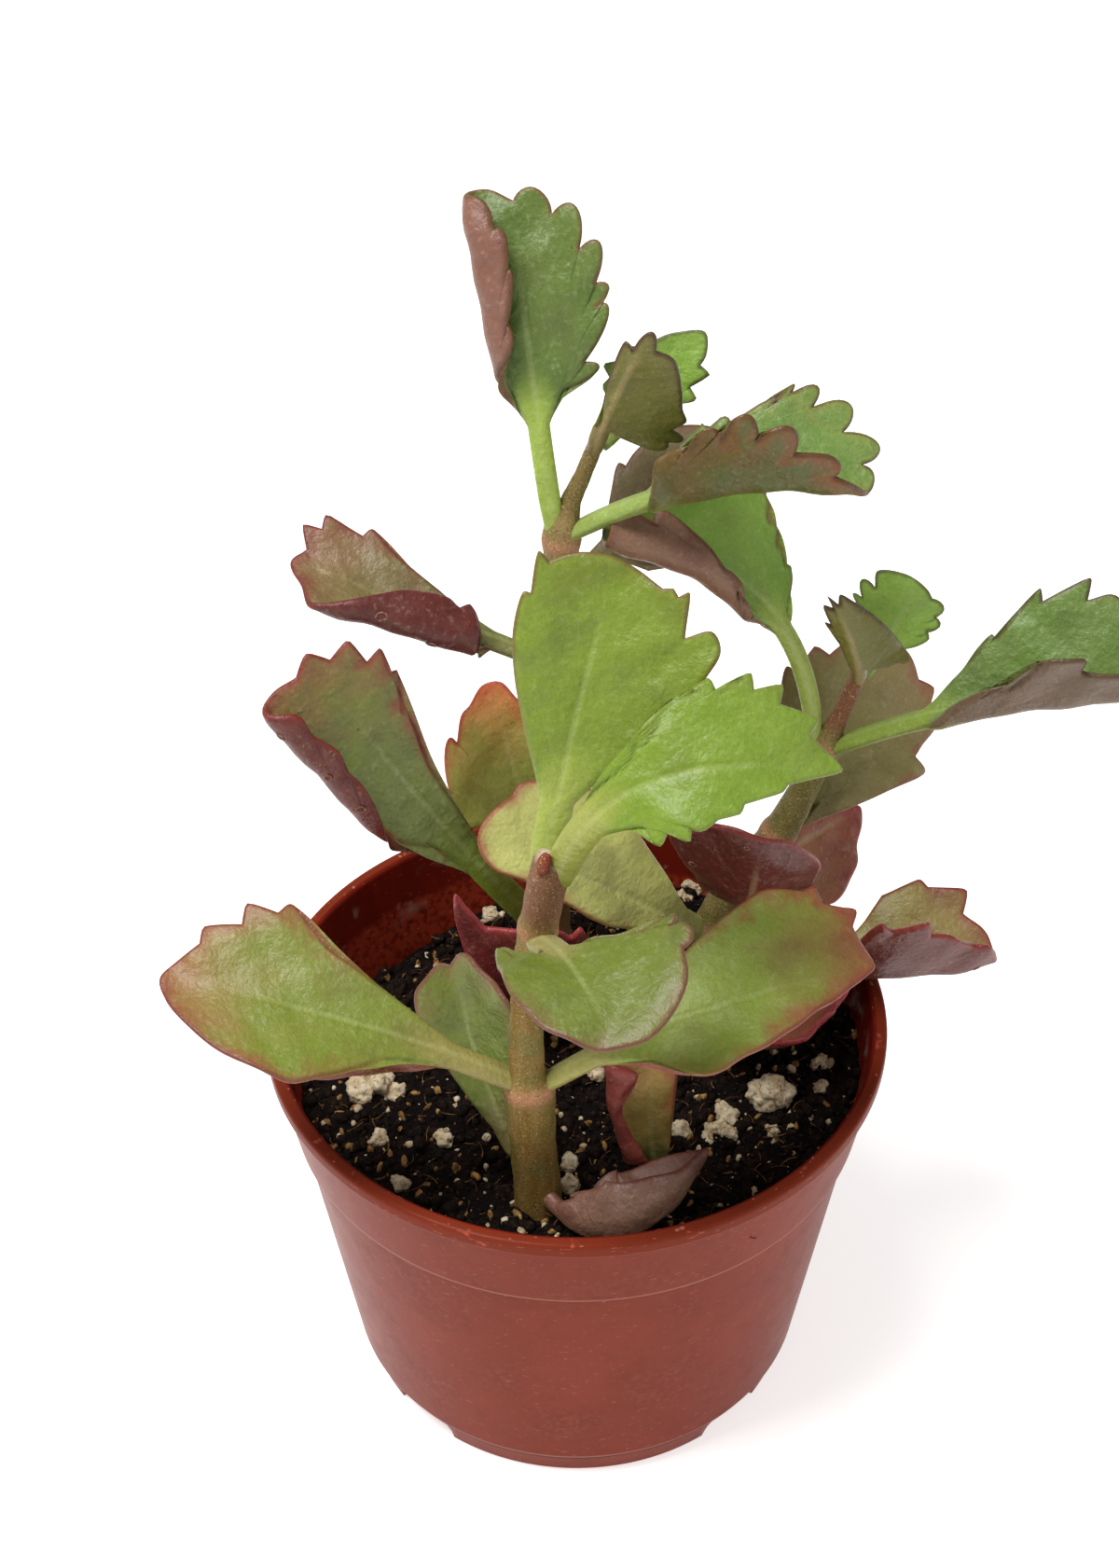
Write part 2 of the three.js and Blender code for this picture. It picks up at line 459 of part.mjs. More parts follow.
function drainHole(index) {
  const angle = (index + 0.5) * 2 * Math.PI / DRAIN_HOLES;
  const radius = DRAIN_HOLE_RADIUS;
  const drill = new THREE.CylinderGeometry(radius, radius, DRAIN_HOLE_DRILL, DRAIN_HOLE_SIDES);
  drill.rotateX(Math.PI / 2);
  drill.translate(DRAIN_HOLE_CIRCLE * Math.cos(angle), DRAIN_HOLE_CIRCLE * Math.sin(angle), 0);
  return toSolid(drill);
}

function makePot() {
  let pot = potShell();
  for (let i = 0; i < DRAIN_GAPS; i += 1) {
    pot = pot.subtract(drainGap(FIRST_DRAIN_GAP_DEGREES + i * 360 / DRAIN_GAPS));
  }
  for (let i = 0; i < DRAIN_HOLES; i += 1) {
    pot = pot.subtract(drainHole(i));
  }
  return toGeometry(pot);
}

// A stem's radius at a height, straight between the points of its path.
function stemRadius(stem, height) {
  const above = stem.path.findIndex((entry) => entry[2] > height);
  if (above <= 0) {
    return stem.path.at(above === 0 ? 0 : -1)[3];
  }
  const from = stem.path[above - 1];
  const to = stem.path[above];
  return mix(from[3], to[3], (height - from[2]) / (to[2] - from[2]));
}

// The stem as rings round a smooth curve through its points; grow widens it all over.
function stemBody(stem, grow = 0) {
  const middles = stem.path.map(([x, y, z]) => new THREE.Vector3(x, y, z));
  const curve = new THREE.CatmullRomCurve3(middles, false, 'centripetal');
  const steps = Math.round(curve.getLength() / STEM_STEP);
  const rings = [];
  for (let i = 0; i <= steps; i += 1) {
    const middle = curve.getPoint(i / steps);
    const along = curve.getTangent(i / steps);
    const end = i === 0 ? -grow : (i === steps ? grow : 0);
    middle.addScaledVector(along, end);
    const side = new THREE.Vector3(1, 0, 0).addScaledVector(along, -along.x).normalize();
    const back = new THREE.Vector3().crossVectors(along, side);
    const radius = grow + stemRadius(stem, middle.z);
    const ring = [];
    for (let j = 0; j < STEM_SIDES; j += 1) {
      const angle = j * 2 * Math.PI / STEM_SIDES;
      ring.push(middle.clone().addScaledVector(side, radius * Math.cos(angle))
        .addScaledVector(back, radius * Math.sin(angle)));
    }
    rings.push(ring);
  }
  return tubeBody(rings);
}

// How far out the soil's top reaches in a direction, just inside the wall at the soil's own height there.
function soilEdgeRadius(angle) {
  let radius = innerRadius(SOIL_LEVEL);
  for (let i = 0; i < SOIL_EDGE_PASSES; i += 1) {
    radius = innerRadius(soilHeight(radius * Math.cos(angle), radius * Math.sin(angle))) - SOIL_GAP;
  }
  return radius;
}

// The soil: a lumpy top, a side that follows the pot's wall and a flat underside over the floor.
function soilBody() {
  const bottom = FLOOR_RISE + FLOOR_THICKNESS + SOIL_GAP;
  const points = [new THREE.Vector3(0, 0, soilHeight(0, 0))];
  const levels = [];
  for (let i = 1; i <= SOIL_RINGS; i += 1) {
    levels.push({ share: Math.sqrt(i / SOIL_RINGS) });
  }
  for (const z of [SOIL_SIDE_Z, bottom + SOIL_CORNER]) {
    levels.push({ radius: innerRadius(z) - SOIL_GAP, z });
  }
  levels.push({ radius: levels.at(-1).radius - SOIL_CORNER, z: bottom });
  for (const level of levels) {
    for (let j = 0; j < SOIL_SEGMENTS; j += 1) {
      const angle = (j + 0.5) * 2 * Math.PI / SOIL_SEGMENTS;
      const radius = level.radius ?? level.share * soilEdgeRadius(angle);
      const x = radius * Math.cos(angle);
      const y = radius * Math.sin(angle);
      points.push(new THREE.Vector3(x, y, level.z ?? soilHeight(x, y)));
    }
  }
  const centre = points.length;
  points.push(new THREE.Vector3(0, 0, bottom));
  const triangles = [];
  for (let j = 0; j < SOIL_SEGMENTS; j += 1) {
    const next = (j + 1) % SOIL_SEGMENTS;
    triangles.push([0, 1 + j, 1 + next]);
    for (let i = 0; i + 1 < levels.length; i += 1) {
      const a = 1 + i * SOIL_SEGMENTS;
      triangles.push([a + j, a + j + SOIL_SEGMENTS, a + next + SOIL_SEGMENTS]);
      triangles.push([a + j, a + next + SOIL_SEGMENTS, a + next]);
    }
    const last = 1 + (levels.length - 1) * SOIL_SEGMENTS;
    triangles.push([centre, last + next, last + j]);
  }
  return bodyFrom(points, triangles);
}

// The direction that looks so many degrees round from +X and so many degrees up.
function facing([around, up]) {
  const a = radians(around);
  const e = radians(up);
  return new THREE.Vector3(Math.cos(a) * Math.cos(e), Math.sin(a) * Math.cos(e), Math.sin(e));
}

// The bent leaf: gives the place on its middle surface and the direction out of its upper side.
function leafSurface(leaf) {
  const [foot, bend, tip] = [leaf.foot, leaf.bend, leaf.tip].map((p) => new THREE.Vector3(...p));
  const midrib = new THREE.QuadraticBezierCurve3(foot, bend, tip);
  const length = midrib.getLength();
  const [faceFoot, faceTip] = leaf.faces.map(facing);
  const [rollFoot, rollTip, rollDegrees] = leaf.roll ?? [0, 0, 0];
  return (along, left) => {
    const share = THREE.MathUtils.clamp(along / length, 0, 1);
    const place = midrib.getPointAt(share);
    const forward = midrib.getTangentAt(share);
    place.addScaledVector(forward, along - share * length);
    const up = faceFoot.clone().lerp(faceTip, share);
    up.addScaledVector(forward, -up.dot(forward)).normalize();
    const side = new THREE.Vector3().crossVectors(up, forward);
    const half = left >= 0 ? 0 : 1;
    const sign = left >= 0 ? 1 : -1;
    const past = along - FOLD_START * leaf.stalk[0];
    const opened = THREE.MathUtils.clamp(past / (FOLD_LENGTH * leaf.stalk[0]), 0, 1);
    const fold = radians(leaf.fold[half]) * opened;
    const curl = radians(leaf.curl[half]) * opened;
    const roll = left > 0 ? radians(rollDegrees) * opened : 0;
    const rollStart = mix(rollFoot, rollTip, share);
    const turnAt = (reach) => {
      const rolled = THREE.MathUtils.clamp((reach - rollStart) / ROLL_LENGTH, 0, 1);
      return fold * Math.min(1, reach / FOLD_ROUNDING) + curl * (reach / CURL_REACH) ** 2 + roll * rolled;
    };
    const width = Math.abs(left);
    let out = 0;
    let rise = 0;
    for (let i = 0; i < CURL_STEPS; i += 1) {
      const reach = (i + 0.5) / CURL_STEPS * width;
      out += Math.cos(turnAt(reach)) * width / CURL_STEPS;
      rise += Math.sin(turnAt(reach)) * width / CURL_STEPS;
    }
    place.addScaledVector(side, sign * out).addScaledVector(up, rise);
    const turn = turnAt(width);
    const normal = up.clone().multiplyScalar(Math.cos(turn));
    normal.addScaledVector(side, -sign * Math.sin(turn));
    return { place, normal };
  };
}

// A leaf as a closed body: columns run up the stalk and fan out to the scalloped edge.
function leafBody(leaf) {
  const surface = leafSurface(leaf);
  const { edge } = leaf;
  const [stalkLength, stalkHalf] = leaf.stalk;
  const stalkThickness = leaf.young ? YOUNG_STALK_THICKNESS : STALK_THICKNESS;
  const bladeThickness = leaf.young ? YOUNG_BLADE_THICKNESS : BLADE_THICKNESS;
  const columns = edge.length - 1;
  const bladeLength = Math.max(...edge.map((point) => point[0])) - stalkLength;
  const stalkRows = Math.ceil(stalkLength / STALK_ROW_LENGTH);
  const flatRows = Math.min(BLADE_ROWS_AT_MOST, Math.ceil(bladeLength / BLADE_ROW_LENGTH) + 1);
  const bladeRows = leaf.roll ? ROLLED_BLADE_ROWS : flatRows;
  const rows = stalkRows + bladeRows;
  const upper = [];
  const lower = [];
  for (let i = 0; i <= rows; i += 1) {
    for (let j = 0; j <= columns; j += 1) {
      const across = 1 - 2 * j / columns;
      let along = stalkLength * i / stalkRows;
      let left = stalkHalf * across * (i === 0 ? FOOT_NARROWING : 1);
      let thickness = stalkThickness;
      if (i > stalkRows) {
        const share = (i - stalkRows) / bladeRows;
        along = mix(stalkLength, edge[j][0], share);
        left = mix(stalkHalf * across, edge[j][1], share ** FAN_POWER);
        thickness = mix(stalkThickness, bladeThickness, Math.min(1, share / THINNING_SHARE));
        thickness = mix(thickness, EDGE_THICKNESS, share ** EDGE_POWER);
      }
      thickness = mix(EDGE_THICKNESS, thickness, 1 - across ** EDGE_POWER);
      const { place, normal } = surface(along, left);
      upper.push(place.clone().addScaledVector(normal, thickness * UPPER_SHARE));
      lower.push(place.clone().addScaledVector(normal, -thickness * (1 - UPPER_SHARE)));
    }
  }
  const points = [...upper, ...lower];
  const below = upper.length;
  const width = columns + 1;
  const triangles = [];
  for (let i = 0; i < rows; i += 1) {
    for (let j = 0; j < columns; j += 1) {
      const a = i * width + j;
      const b = a + 1;
      const c = a + width + 1;
      const d = a + width;
      triangles.push([a, b, c], [a, c, d]);
      triangles.push([below + a, below + c, below + b], [below + a, below + d, below + c]);
    }
  }
  const border = [];
  for (let j = 0; j < columns; j += 1) {
    border.push(j);
  }
  for (let i = 0; i < rows; i += 1) {
    border.push(i * width + columns);
  }
  for (let j = columns; j > 0; j -= 1) {
    border.push(rows * width + j);
  }
  for (let i = rows; i > 0; i -= 1) {
    border.push(i * width);
  }
  border.forEach((a, k) => {
    const b = border[(k + 1) % border.length];
    triangles.push([a, below + a, below + b], [a, below + b, b]);
  });
  return bodyFrom(points, triangles);
}

// The bud as a small egg, leaning to the right.
function budBody() {
  const egg = new THREE.SphereGeometry(BUD.radius, BUD_SIDES, BUD_RINGS);
  egg.scale(1, 1, BUD.stretch);
  egg.rotateY(radians(BUD.tilt));
  egg.translate(...BUD.place);
  return toSolid(egg);
}

// The hole that a leaf standing in the soil needs, a little deeper than the leaf's foot.
function leafHole([x, y, z]) {
  const radius = LEAF_HOLE_RADIUS;
  const hole = new THREE.CylinderGeometry(radius, radius, LEAF_HOLE_HEIGHT, LEAF_HOLE_SIDES);
  hole.rotateX(Math.PI / 2);
  hole.translate(x, y, z + LEAF_HOLE_HEIGHT / 2 - LEAF_HOLE_DEPTH);
  return toSolid(hole);
}

function addPiece(group, name, geometry, color, roughness) {
  const material = new THREE.MeshStandardMaterial({ color, roughness, metalness: 0 });
  const mesh = new THREE.Mesh(geometry, material);
  mesh.name = name;
  group.add(mesh);
}

const plant = new THREE.Group();
addPiece(plant, 'pot', makePot(), POT_RED, POT_ROUGHNESS);

const clearance = {};
for (const [name, stem] of Object.entries(STEMS)) {
  clearance[name] = toSolid(stemBody(stem, SEAT_GAP));
  let body = toSolid(stemBody(stem));
  if (name === 'stem_front') {
    body = body.add(budBody());
  }
  addPiece(plant, name, toGeometry(body), stem.color, STEM_ROUGHNESS);
}

let soil = toSolid(soilBody());
for (const hole of Object.values(clearance)) {
  soil = soil.subtract(hole);
}

for (const [name, leaf] of Object.entries(LEAVES)) {
  let body = toSolid(leafBody(leaf));
  if (leaf.stem === 'soil') {
    soil = soil.subtract(leafHole(leaf.foot));
  } else {
    body = body.subtract(clearance[leaf.stem]);
  }
  addPiece(plant, name, toGeometry(body), leaf.color, LEAF_ROUGHNESS);
}
addPiece(plant, 'soil', toGeometry(soil), SOIL_BLACK, SOIL_ROUGHNESS);

export default plant;
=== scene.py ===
"""A potted kalanchoe longiflora: a red-brown nursery pot, peat soil with perlite, three stems, their
scallop-edged fleshy leaves, young leaves and a bud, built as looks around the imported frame.

Sizes are in millimetres while a piece is shaped and are brought to metres in its mesh. +Z is up,
+X is to the right and +Y is away from the viewer, as in the frame.
"""

from __future__ import annotations

import logging
import math
from dataclasses import dataclass, field
from enum import Enum
from typing import Iterable, Sequence, Union

import bpy
import numpy as np
from mathutils import Matrix, Vector


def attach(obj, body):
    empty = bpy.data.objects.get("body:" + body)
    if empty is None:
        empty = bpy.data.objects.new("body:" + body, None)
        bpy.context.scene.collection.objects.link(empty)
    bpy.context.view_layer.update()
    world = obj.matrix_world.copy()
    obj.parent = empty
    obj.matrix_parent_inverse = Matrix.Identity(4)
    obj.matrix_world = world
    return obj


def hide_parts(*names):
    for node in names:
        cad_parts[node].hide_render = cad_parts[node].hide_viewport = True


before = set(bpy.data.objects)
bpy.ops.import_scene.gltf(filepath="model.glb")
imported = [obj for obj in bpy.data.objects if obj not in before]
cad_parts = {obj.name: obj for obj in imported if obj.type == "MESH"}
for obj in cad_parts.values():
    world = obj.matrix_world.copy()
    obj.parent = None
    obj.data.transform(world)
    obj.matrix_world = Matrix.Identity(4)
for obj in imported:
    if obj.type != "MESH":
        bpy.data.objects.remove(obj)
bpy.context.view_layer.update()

MM = 0.001
BODY = "root"
WHOLE_TURN = 6.28
MOST_DENSE = 3e6
log = logging.getLogger("kalanchoe")

Vec2 = tuple[float, float]
Vec3 = tuple[float, float, float]
Band = tuple[Vec2, Vec2]
Colour = tuple[float, float, float, float]
Amount = Union[float, np.ndarray]


def tint(code: str) -> Colour:
    """Turns a screen colour into the linear colour that a shader takes.

    Args:
        code: Six hex digits, such as "7d9a3c".

    Returns:
        Red, green, blue and an alpha of one.
    """
    parts = [int(code[i:i + 2], 16) / 255 for i in (0, 2, 4)]
    linear = [p / 12.92 if p <= 0.04045 else ((p + 0.055) / 1.055) ** 2.4 for p in parts]
    return (linear[0], linear[1], linear[2], 1.0)


def smooth(low: float, high: float, value: np.ndarray) -> np.ndarray:
    """A soft step from 0 at low to 1 at high."""
    share = np.clip((value - low) / (high - low), 0, 1)
    return share * share * (3 - 2 * share)


def blend(a: Amount, b: Amount, share: Amount) -> Amount:
    """The value between a and b at a share from 0 to 1."""
    return a + (b - a) * share


class Tone:
    """A number socket that takes part in arithmetic: each operation adds a Math node."""

    def __init__(self, board: "NodeBoard", socket: bpy.types.NodeSocket) -> None:
        """Wraps one output socket of a board."""
        self.board = board
        self.socket = socket

    def maths(self, operation: str, first: "Value", second: "Value" = 0.0) -> "Tone":
        """Adds a Math node for an operation on two values."""
        made = self.board.node("ShaderNodeMath", {"operation": operation}, {0: first, 1: second})
        return Tone(self.board, made.outputs[0])

    def __add__(self, other: "Value") -> "Tone":
        """Sum."""
        return self.maths("ADD", self, other)

    __radd__ = __add__

    def __sub__(self, other: "Value") -> "Tone":
        """Difference."""
        return self.maths("SUBTRACT", self, other)

    def __rsub__(self, other: "Value") -> "Tone":
        """Difference with the number first."""
        return self.maths("SUBTRACT", other, self)

    def __mul__(self, other: "Value") -> "Tone":
        """Product."""
        return self.maths("MULTIPLY", self, other)

    __rmul__ = __mul__

    def __truediv__(self, other: "Value") -> "Tone":
        """Quotient."""
        return self.maths("DIVIDE", self, other)

    def __rtruediv__(self, other: "Value") -> "Tone":
        """Quotient with the number first."""
        return self.maths("DIVIDE", other, self)

    def __pow__(self, other: "Value") -> "Tone":
        """Power."""
        return self.maths("POWER", self, other)

    def __abs__(self) -> "Tone":
        """Size without its sign."""
        return self.maths("ABSOLUTE", self)

    def over(self, other: "Value") -> "Tone":
        """One where this is greater than the other value."""
        return self.maths("GREATER_THAN", self, other)

    def step(self, low: "Value", high: "Value") -> "Tone":
        """A soft step from 0 at low to 1 at high."""
        made = self.board.node(
            "ShaderNodeMapRange", {"interpolation_type": "SMOOTHSTEP"},
            {"Value": self, "From Min": low, "From Max": high})
        return Tone(self.board, made.outputs[0])

    def between(self, band: Band) -> "Tone":
        """One inside a band that is given by where it rises and where it falls."""
        rise, fall = band
        return self.step(*rise) * (1 - self.step(*fall))


Value = Union[float, Tone]
Plug = Union[float, int, bool, str, tuple, Tone, bpy.types.NodeSocket, bpy.types.ID, None]


class NodeBoard:
    """A node tree that is filled from Python."""

    def __init__(self, tree: bpy.types.NodeTree) -> None:
        """Starts on an empty tree."""
        self.tree = tree
        tree.nodes.clear()

    def node(self, kind: str, settings: dict | None = None, sockets: dict | None = None) -> bpy.types.Node:
        """Adds a node.

        Args:
            kind: The node's type name.
            settings: Its properties, set first.
            sockets: Values or links of its inputs, by name or by number; a list makes several links.

        Returns:
            The new node.
        """
        made = self.tree.nodes.new(kind)
        for key, value in (settings or {}).items():
            setattr(made, key, value)
        for key, value in (sockets or {}).items():
            target = made.inputs[key]
            for one in value if isinstance(value, list) else [value]:
                source = one.socket if isinstance(one, Tone) else one
                if isinstance(source, bpy.types.NodeSocket):
                    self.tree.links.new(source, target)
                else:
                    target.default_value = source
        return made

    def joined(self, x: "Value", y: "Value", z: "Value") -> bpy.types.NodeSocket:
        """A vector of three numbers."""
        return self.node("ShaderNodeCombineXYZ", None, {0: x, 1: y, 2: z}).outputs[0]

    def number(self, node: bpy.types.Node, output: Union[int, str] = 0) -> Tone:
        """A node's output as a number to reckon with."""
        return Tone(self, node.outputs[output])


class FinishBoard(NodeBoard):
    """The nodes of one material, which end in a principled shader."""

    def __init__(self, name: str, **constants: Plug) -> None:
        """Makes the material and its shader.

        Args:
            name: The material's name.
            constants: Shader sockets that are the same all over, spaces written as underscores.
        """
        self.material = bpy.data.materials.new(name)
        self.material.use_nodes = True
        super().__init__(self.material.node_tree)
        sockets = {key.replace("_", " "): value for key, value in constants.items()}
        self.shader = self.node("ShaderNodeBsdfPrincipled", None, sockets)
        self.node("ShaderNodeOutputMaterial", None, {"Surface": self.shader.outputs[0]})
        self.place = self.node("ShaderNodeTexCoord").outputs["Object"]

    def attribute(self, name: str) -> Tone:
        """A number that is kept on the piece's mesh."""
        return Tone(self, self.node("ShaderNodeAttribute", {"attribute_name": name}).outputs["Fac"])

    def axis(self, name: str) -> Tone:
        """One coordinate of the place on the object, in millimetres."""
        parts = self.node("ShaderNodeSeparateXYZ", None, {0: self.place})
        return Tone(self, parts.outputs[name]) * (1 / MM)

    def stretched(self, scale: Vec3) -> bpy.types.NodeSocket:
        """Object coordinates stretched along each axis."""
        return self.node("ShaderNodeMapping", None, {"Vector": self.place, "Scale": scale}).outputs[0]

    def noise(self, size: float, detail: float = 2.0, seed: float = 0.0,
              vector: bpy.types.NodeSocket | None = None) -> Tone:
        """A soft noise from 0 to 1.

        Args:
            size: The width of one lump in millimetres.
            detail: How many finer octaves it has.
            seed: Moves to another part of the noise.
            vector: Other coordinates than the object's own.

        Returns:
            The noise as a number.
        """
        made = self.node("ShaderNodeTexNoise", {"noise_dimensions": "4D"}, {
            "Vector": vector or self.place, "W": seed, "Scale": 1 / (size * MM), "Detail": detail})
        return Tone(self, made.outputs[0])

    def cells(self, size: float, seed: float = 0.0) -> tuple[Tone, Tone]:
        """Scattered cells.

        Args:
            size: The distance between two cells in millimetres.
            seed: Moves to another set of cells.

        Returns:
            The distance from the nearest cell's middle as a share of the size, and a random number
            that is the same all over a cell.
        """
        made = self.node("ShaderNodeTexVoronoi", {"voronoi_dimensions": "4D"}, {
            "Vector": self.place, "W": seed, "Scale": 1 / (size * MM)})
        parts = self.node("ShaderNodeSeparateColor", None, {0: made.outputs["Color"]})
        return Tone(self, made.outputs["Distance"]), Tone(self, parts.outputs[0])

    def mix(self, share: Value, first: Plug, second: Plug) -> bpy.types.NodeSocket:
        """The colour between two, from the first at 0 to the second at 1."""
        made = self.node("ShaderNodeMix", {"data_type": "RGBA"}, {0: share, 6: first, 7: second})
        return made.outputs[2]

    def shade(self, colour: Plug, light: Value) -> bpy.types.NodeSocket:
        """A colour made lighter or darker by a factor."""
        first = colour[:3] if isinstance(colour, tuple) else colour
        made = self.node("ShaderNodeVectorMath", {"operation": "MULTIPLY"},
                         {0: first, 1: self.joined(light, light, light)})
        return made.outputs[0]

    def bump(self, height: Tone, depth: float, strength: float = 1.0) -> None:
        """Raises the surface by a height from 0 to 1.

        Args:
            height: The relief.
            depth: What a height of one stands for, in millimetres.
            strength: How much of it is seen.
        """
        made = self.node("ShaderNodeBump", None,
                         {"Strength": strength, "Distance": depth * MM, "Height": height})
        self.tree.links.new(made.outputs[0], self.shader.inputs["Normal"])

    def finish(self, colour: bpy.types.NodeSocket, roughness: Value) -> bpy.types.Material:
        """Joins the colour and roughness to the shader and gives the material back."""
        self.tree.links.new(colour, self.shader.inputs["Base Color"])
        if isinstance(roughness, Tone):
            self.tree.links.new(roughness.socket, self.shader.inputs["Roughness"])
        else:
            self.shader.inputs["Roughness"].default_value = roughness
        return self.material


class Recipe(NodeBoard):
    """A Geometry Nodes tree with named inputs, run once on a piece."""

    def __init__(self, name: str, inputs: dict[str, Union[float, int]]) -> None:
        """Makes the tree.

        Args:
            name: The tree's name.
            inputs: Named inputs with their default values; whole numbers make integer inputs.
        """
        super().__init__(bpy.data.node_groups.new(name, "GeometryNodeTree"))
        face = self.tree.interface
        face.new_socket("Geometry", in_out="INPUT", socket_type="NodeSocketGeometry")
        face.new_socket("Geometry", in_out="OUTPUT", socket_type="NodeSocketGeometry")
        self.keys: dict[str, str] = {}
        for label, value in inputs.items():
            kind = "NodeSocketInt" if isinstance(value, int) else "NodeSocketFloat"
            socket = face.new_socket(label, in_out="INPUT", socket_type=kind)
            socket.default_value = value
            self.keys[label] = socket.identifier
        self.entry = self.node("NodeGroupInput")
        self.values = dict(inputs)

    def given(self, label: str) -> Tone:
        """A named input as a number."""
        return Tone(self, self.entry.outputs[label])

    def named(self, name: str) -> Tone:
        """A number that is kept on the geometry."""
        return Tone(self, self.node("GeometryNodeInputNamedAttribute", None, {"Name": name}).outputs[0])

    def noise(self, size: Value, seed: Value, detail: float = 2.0) -> Tone:
        """A noise from 0 to 1 over the place, with lumps of a size in metres."""
        scale = 1 / size
        made = self.node("ShaderNodeTexNoise", {"noise_dimensions": "4D"},
                         {"W": seed, "Scale": scale, "Detail": detail})
        return Tone(self, made.outputs[0])

    def chance(self, low: Value, high: Value, seed: Value, salt: int) -> Tone:
        """A random number for each point."""
        mixed = seed + salt if isinstance(seed, Tone) else float(seed + salt)
        made = self.node("FunctionNodeRandomValue", {"data_type": "FLOAT"},
                         {2: low, 3: high, "Seed": mixed})
        return Tone(self, made.outputs[1])

    def chance3(self, low: Vec3, high: Vec3, seed: Tone, salt: int) -> bpy.types.NodeSocket:
        """A random vector for each point."""
        made = self.node("FunctionNodeRandomValue", {"data_type": "FLOAT_VECTOR"},
                         {0: low, 1: high, "Seed": seed + salt})
        return made.outputs[0]

    def pushed(self, geometry: bpy.types.NodeSocket, height: Tone) -> bpy.types.NodeSocket:
        """The geometry moved along its normals by a height in metres."""
        normal = self.node("GeometryNodeInputNormal").outputs[0]
        offset = self.node("ShaderNodeVectorMath", {"operation": "SCALE"}, {0: normal, "Scale": height})
        made = self.node("GeometryNodeSetPosition", None,
                         {"Geometry": geometry, "Offset": offset.outputs[0]})
        return made.outputs[0]

    def strewn(self, chosen: Tone, density: Value = MOST_DENSE) -> bpy.types.Node:
        """Points spread over the chosen faces of the input, by its Spacing and its Seed."""
        return self.node("GeometryNodeDistributePointsOnFaces", {"distribute_method": "POISSON"}, {
            "Mesh": self.entry.outputs["Geometry"], "Selection": chosen.over(0.5),
            "Distance Min": self.given("Spacing"), "Density Max": density, "Density Factor": 1.0,
            "Seed": self.given("Seed")})

    def ball(self, detail: Value) -> bpy.types.NodeSocket:
        """A round lump with a radius of one."""
        return self.node("GeometryNodeMeshIcoSphere", None,
                         {"Radius": 1.0, "Subdivisions": detail}).outputs[0]

    def hoop(self, sides: Value, radius: Value) -> bpy.types.NodeSocket:
        """A closed round curve."""
        return self.node("GeometryNodeCurvePrimitiveCircle", None,
                         {"Resolution": sides, "Radius": radius}).outputs[0]

    def close(self, geometry: Union[bpy.types.NodeSocket, list], material: bpy.types.Material) -> None:
        """Ends the tree: real geometry, smooth faces and one material."""
        joined = self.node("GeometryNodeJoinGeometry", None, {0: geometry}).outputs[0]
        real = self.node("GeometryNodeRealizeInstances", None, {0: joined}).outputs[0]
        even = self.node("GeometryNodeSetShadeSmooth", None, {0: real}).outputs[0]
        dressed = self.node("GeometryNodeSetMaterial", None, {0: even, "Material": material}).outputs[0]
        self.node("NodeGroupOutput", None, {0: dressed})

    def run(self, piece: bpy.types.Object, **values: Union[float, int]) -> bpy.types.Object:
        """Runs the tree on a piece and leaves a plain mesh.

        Args:
            piece: The object whose mesh is the tree's input.
            values: Inputs that differ from their defaults, spaces written as underscores.

        Returns:
            The same object with its new mesh and no modifier.
        """
        live = piece.modifiers.new("recipe", "NODES")
        live.node_group = self.tree
        chosen = {**self.values, **{key.replace("_", " "): value for key, value in values.items()}}
        for label, value in chosen.items():
            live[self.keys[label]] = value
        graph = bpy.context.evaluated_depsgraph_get()
        made = bpy.data.meshes.new_from_object(piece.evaluated_get(graph), depsgraph=graph)
        piece.modifiers.clear()
        piece.data = made
        made.name = piece.name
        return piece


def mesh_piece(name: str, points: np.ndarray, faces: Iterable[Sequence[int]],
               numbers: dict[str, np.ndarray] | None = None,
               edges: Iterable[tuple[int, int]] = ()) -> bpy.types.Object:
    """Makes an object from points in millimetres.

    Args:
        name: The piece's name.
        points: One row of x, y and z for each point.
        faces: Corner numbers of each face.
        numbers: Values kept on the mesh, one for each point or one for each face.
        edges: Loose edges, for a path.

    Returns:
        The object, at the origin, in the scene.
    """
    mesh = bpy.data.meshes.new(name)
    mesh.from_pydata((np.asarray(points) * MM).tolist(), list(edges), [list(face) for face in faces])
    for key, values in (numbers or {}).items():
        domain = "POINT" if len(values) == len(mesh.vertices) else "FACE"
        mesh.attributes.new(key, "FLOAT", domain).data.foreach_set("value", np.asarray(values, "f"))
    mesh.update()
    piece = bpy.data.objects.new(name, mesh)
    bpy.context.scene.collection.objects.link(piece)
    return piece


def adopt(piece: bpy.types.Object, slot: str, *nodes: str) -> None:
    """Attaches a finished piece to the body, hides the imported nodes that it stands for and logs its
    triangles.
    """
    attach(piece, BODY)
    if nodes:
        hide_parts(*nodes)
    piece.data.calc_loop_triangles()
    log.info("%s: %d triangles", piece.name, len(piece.data.loop_triangles))


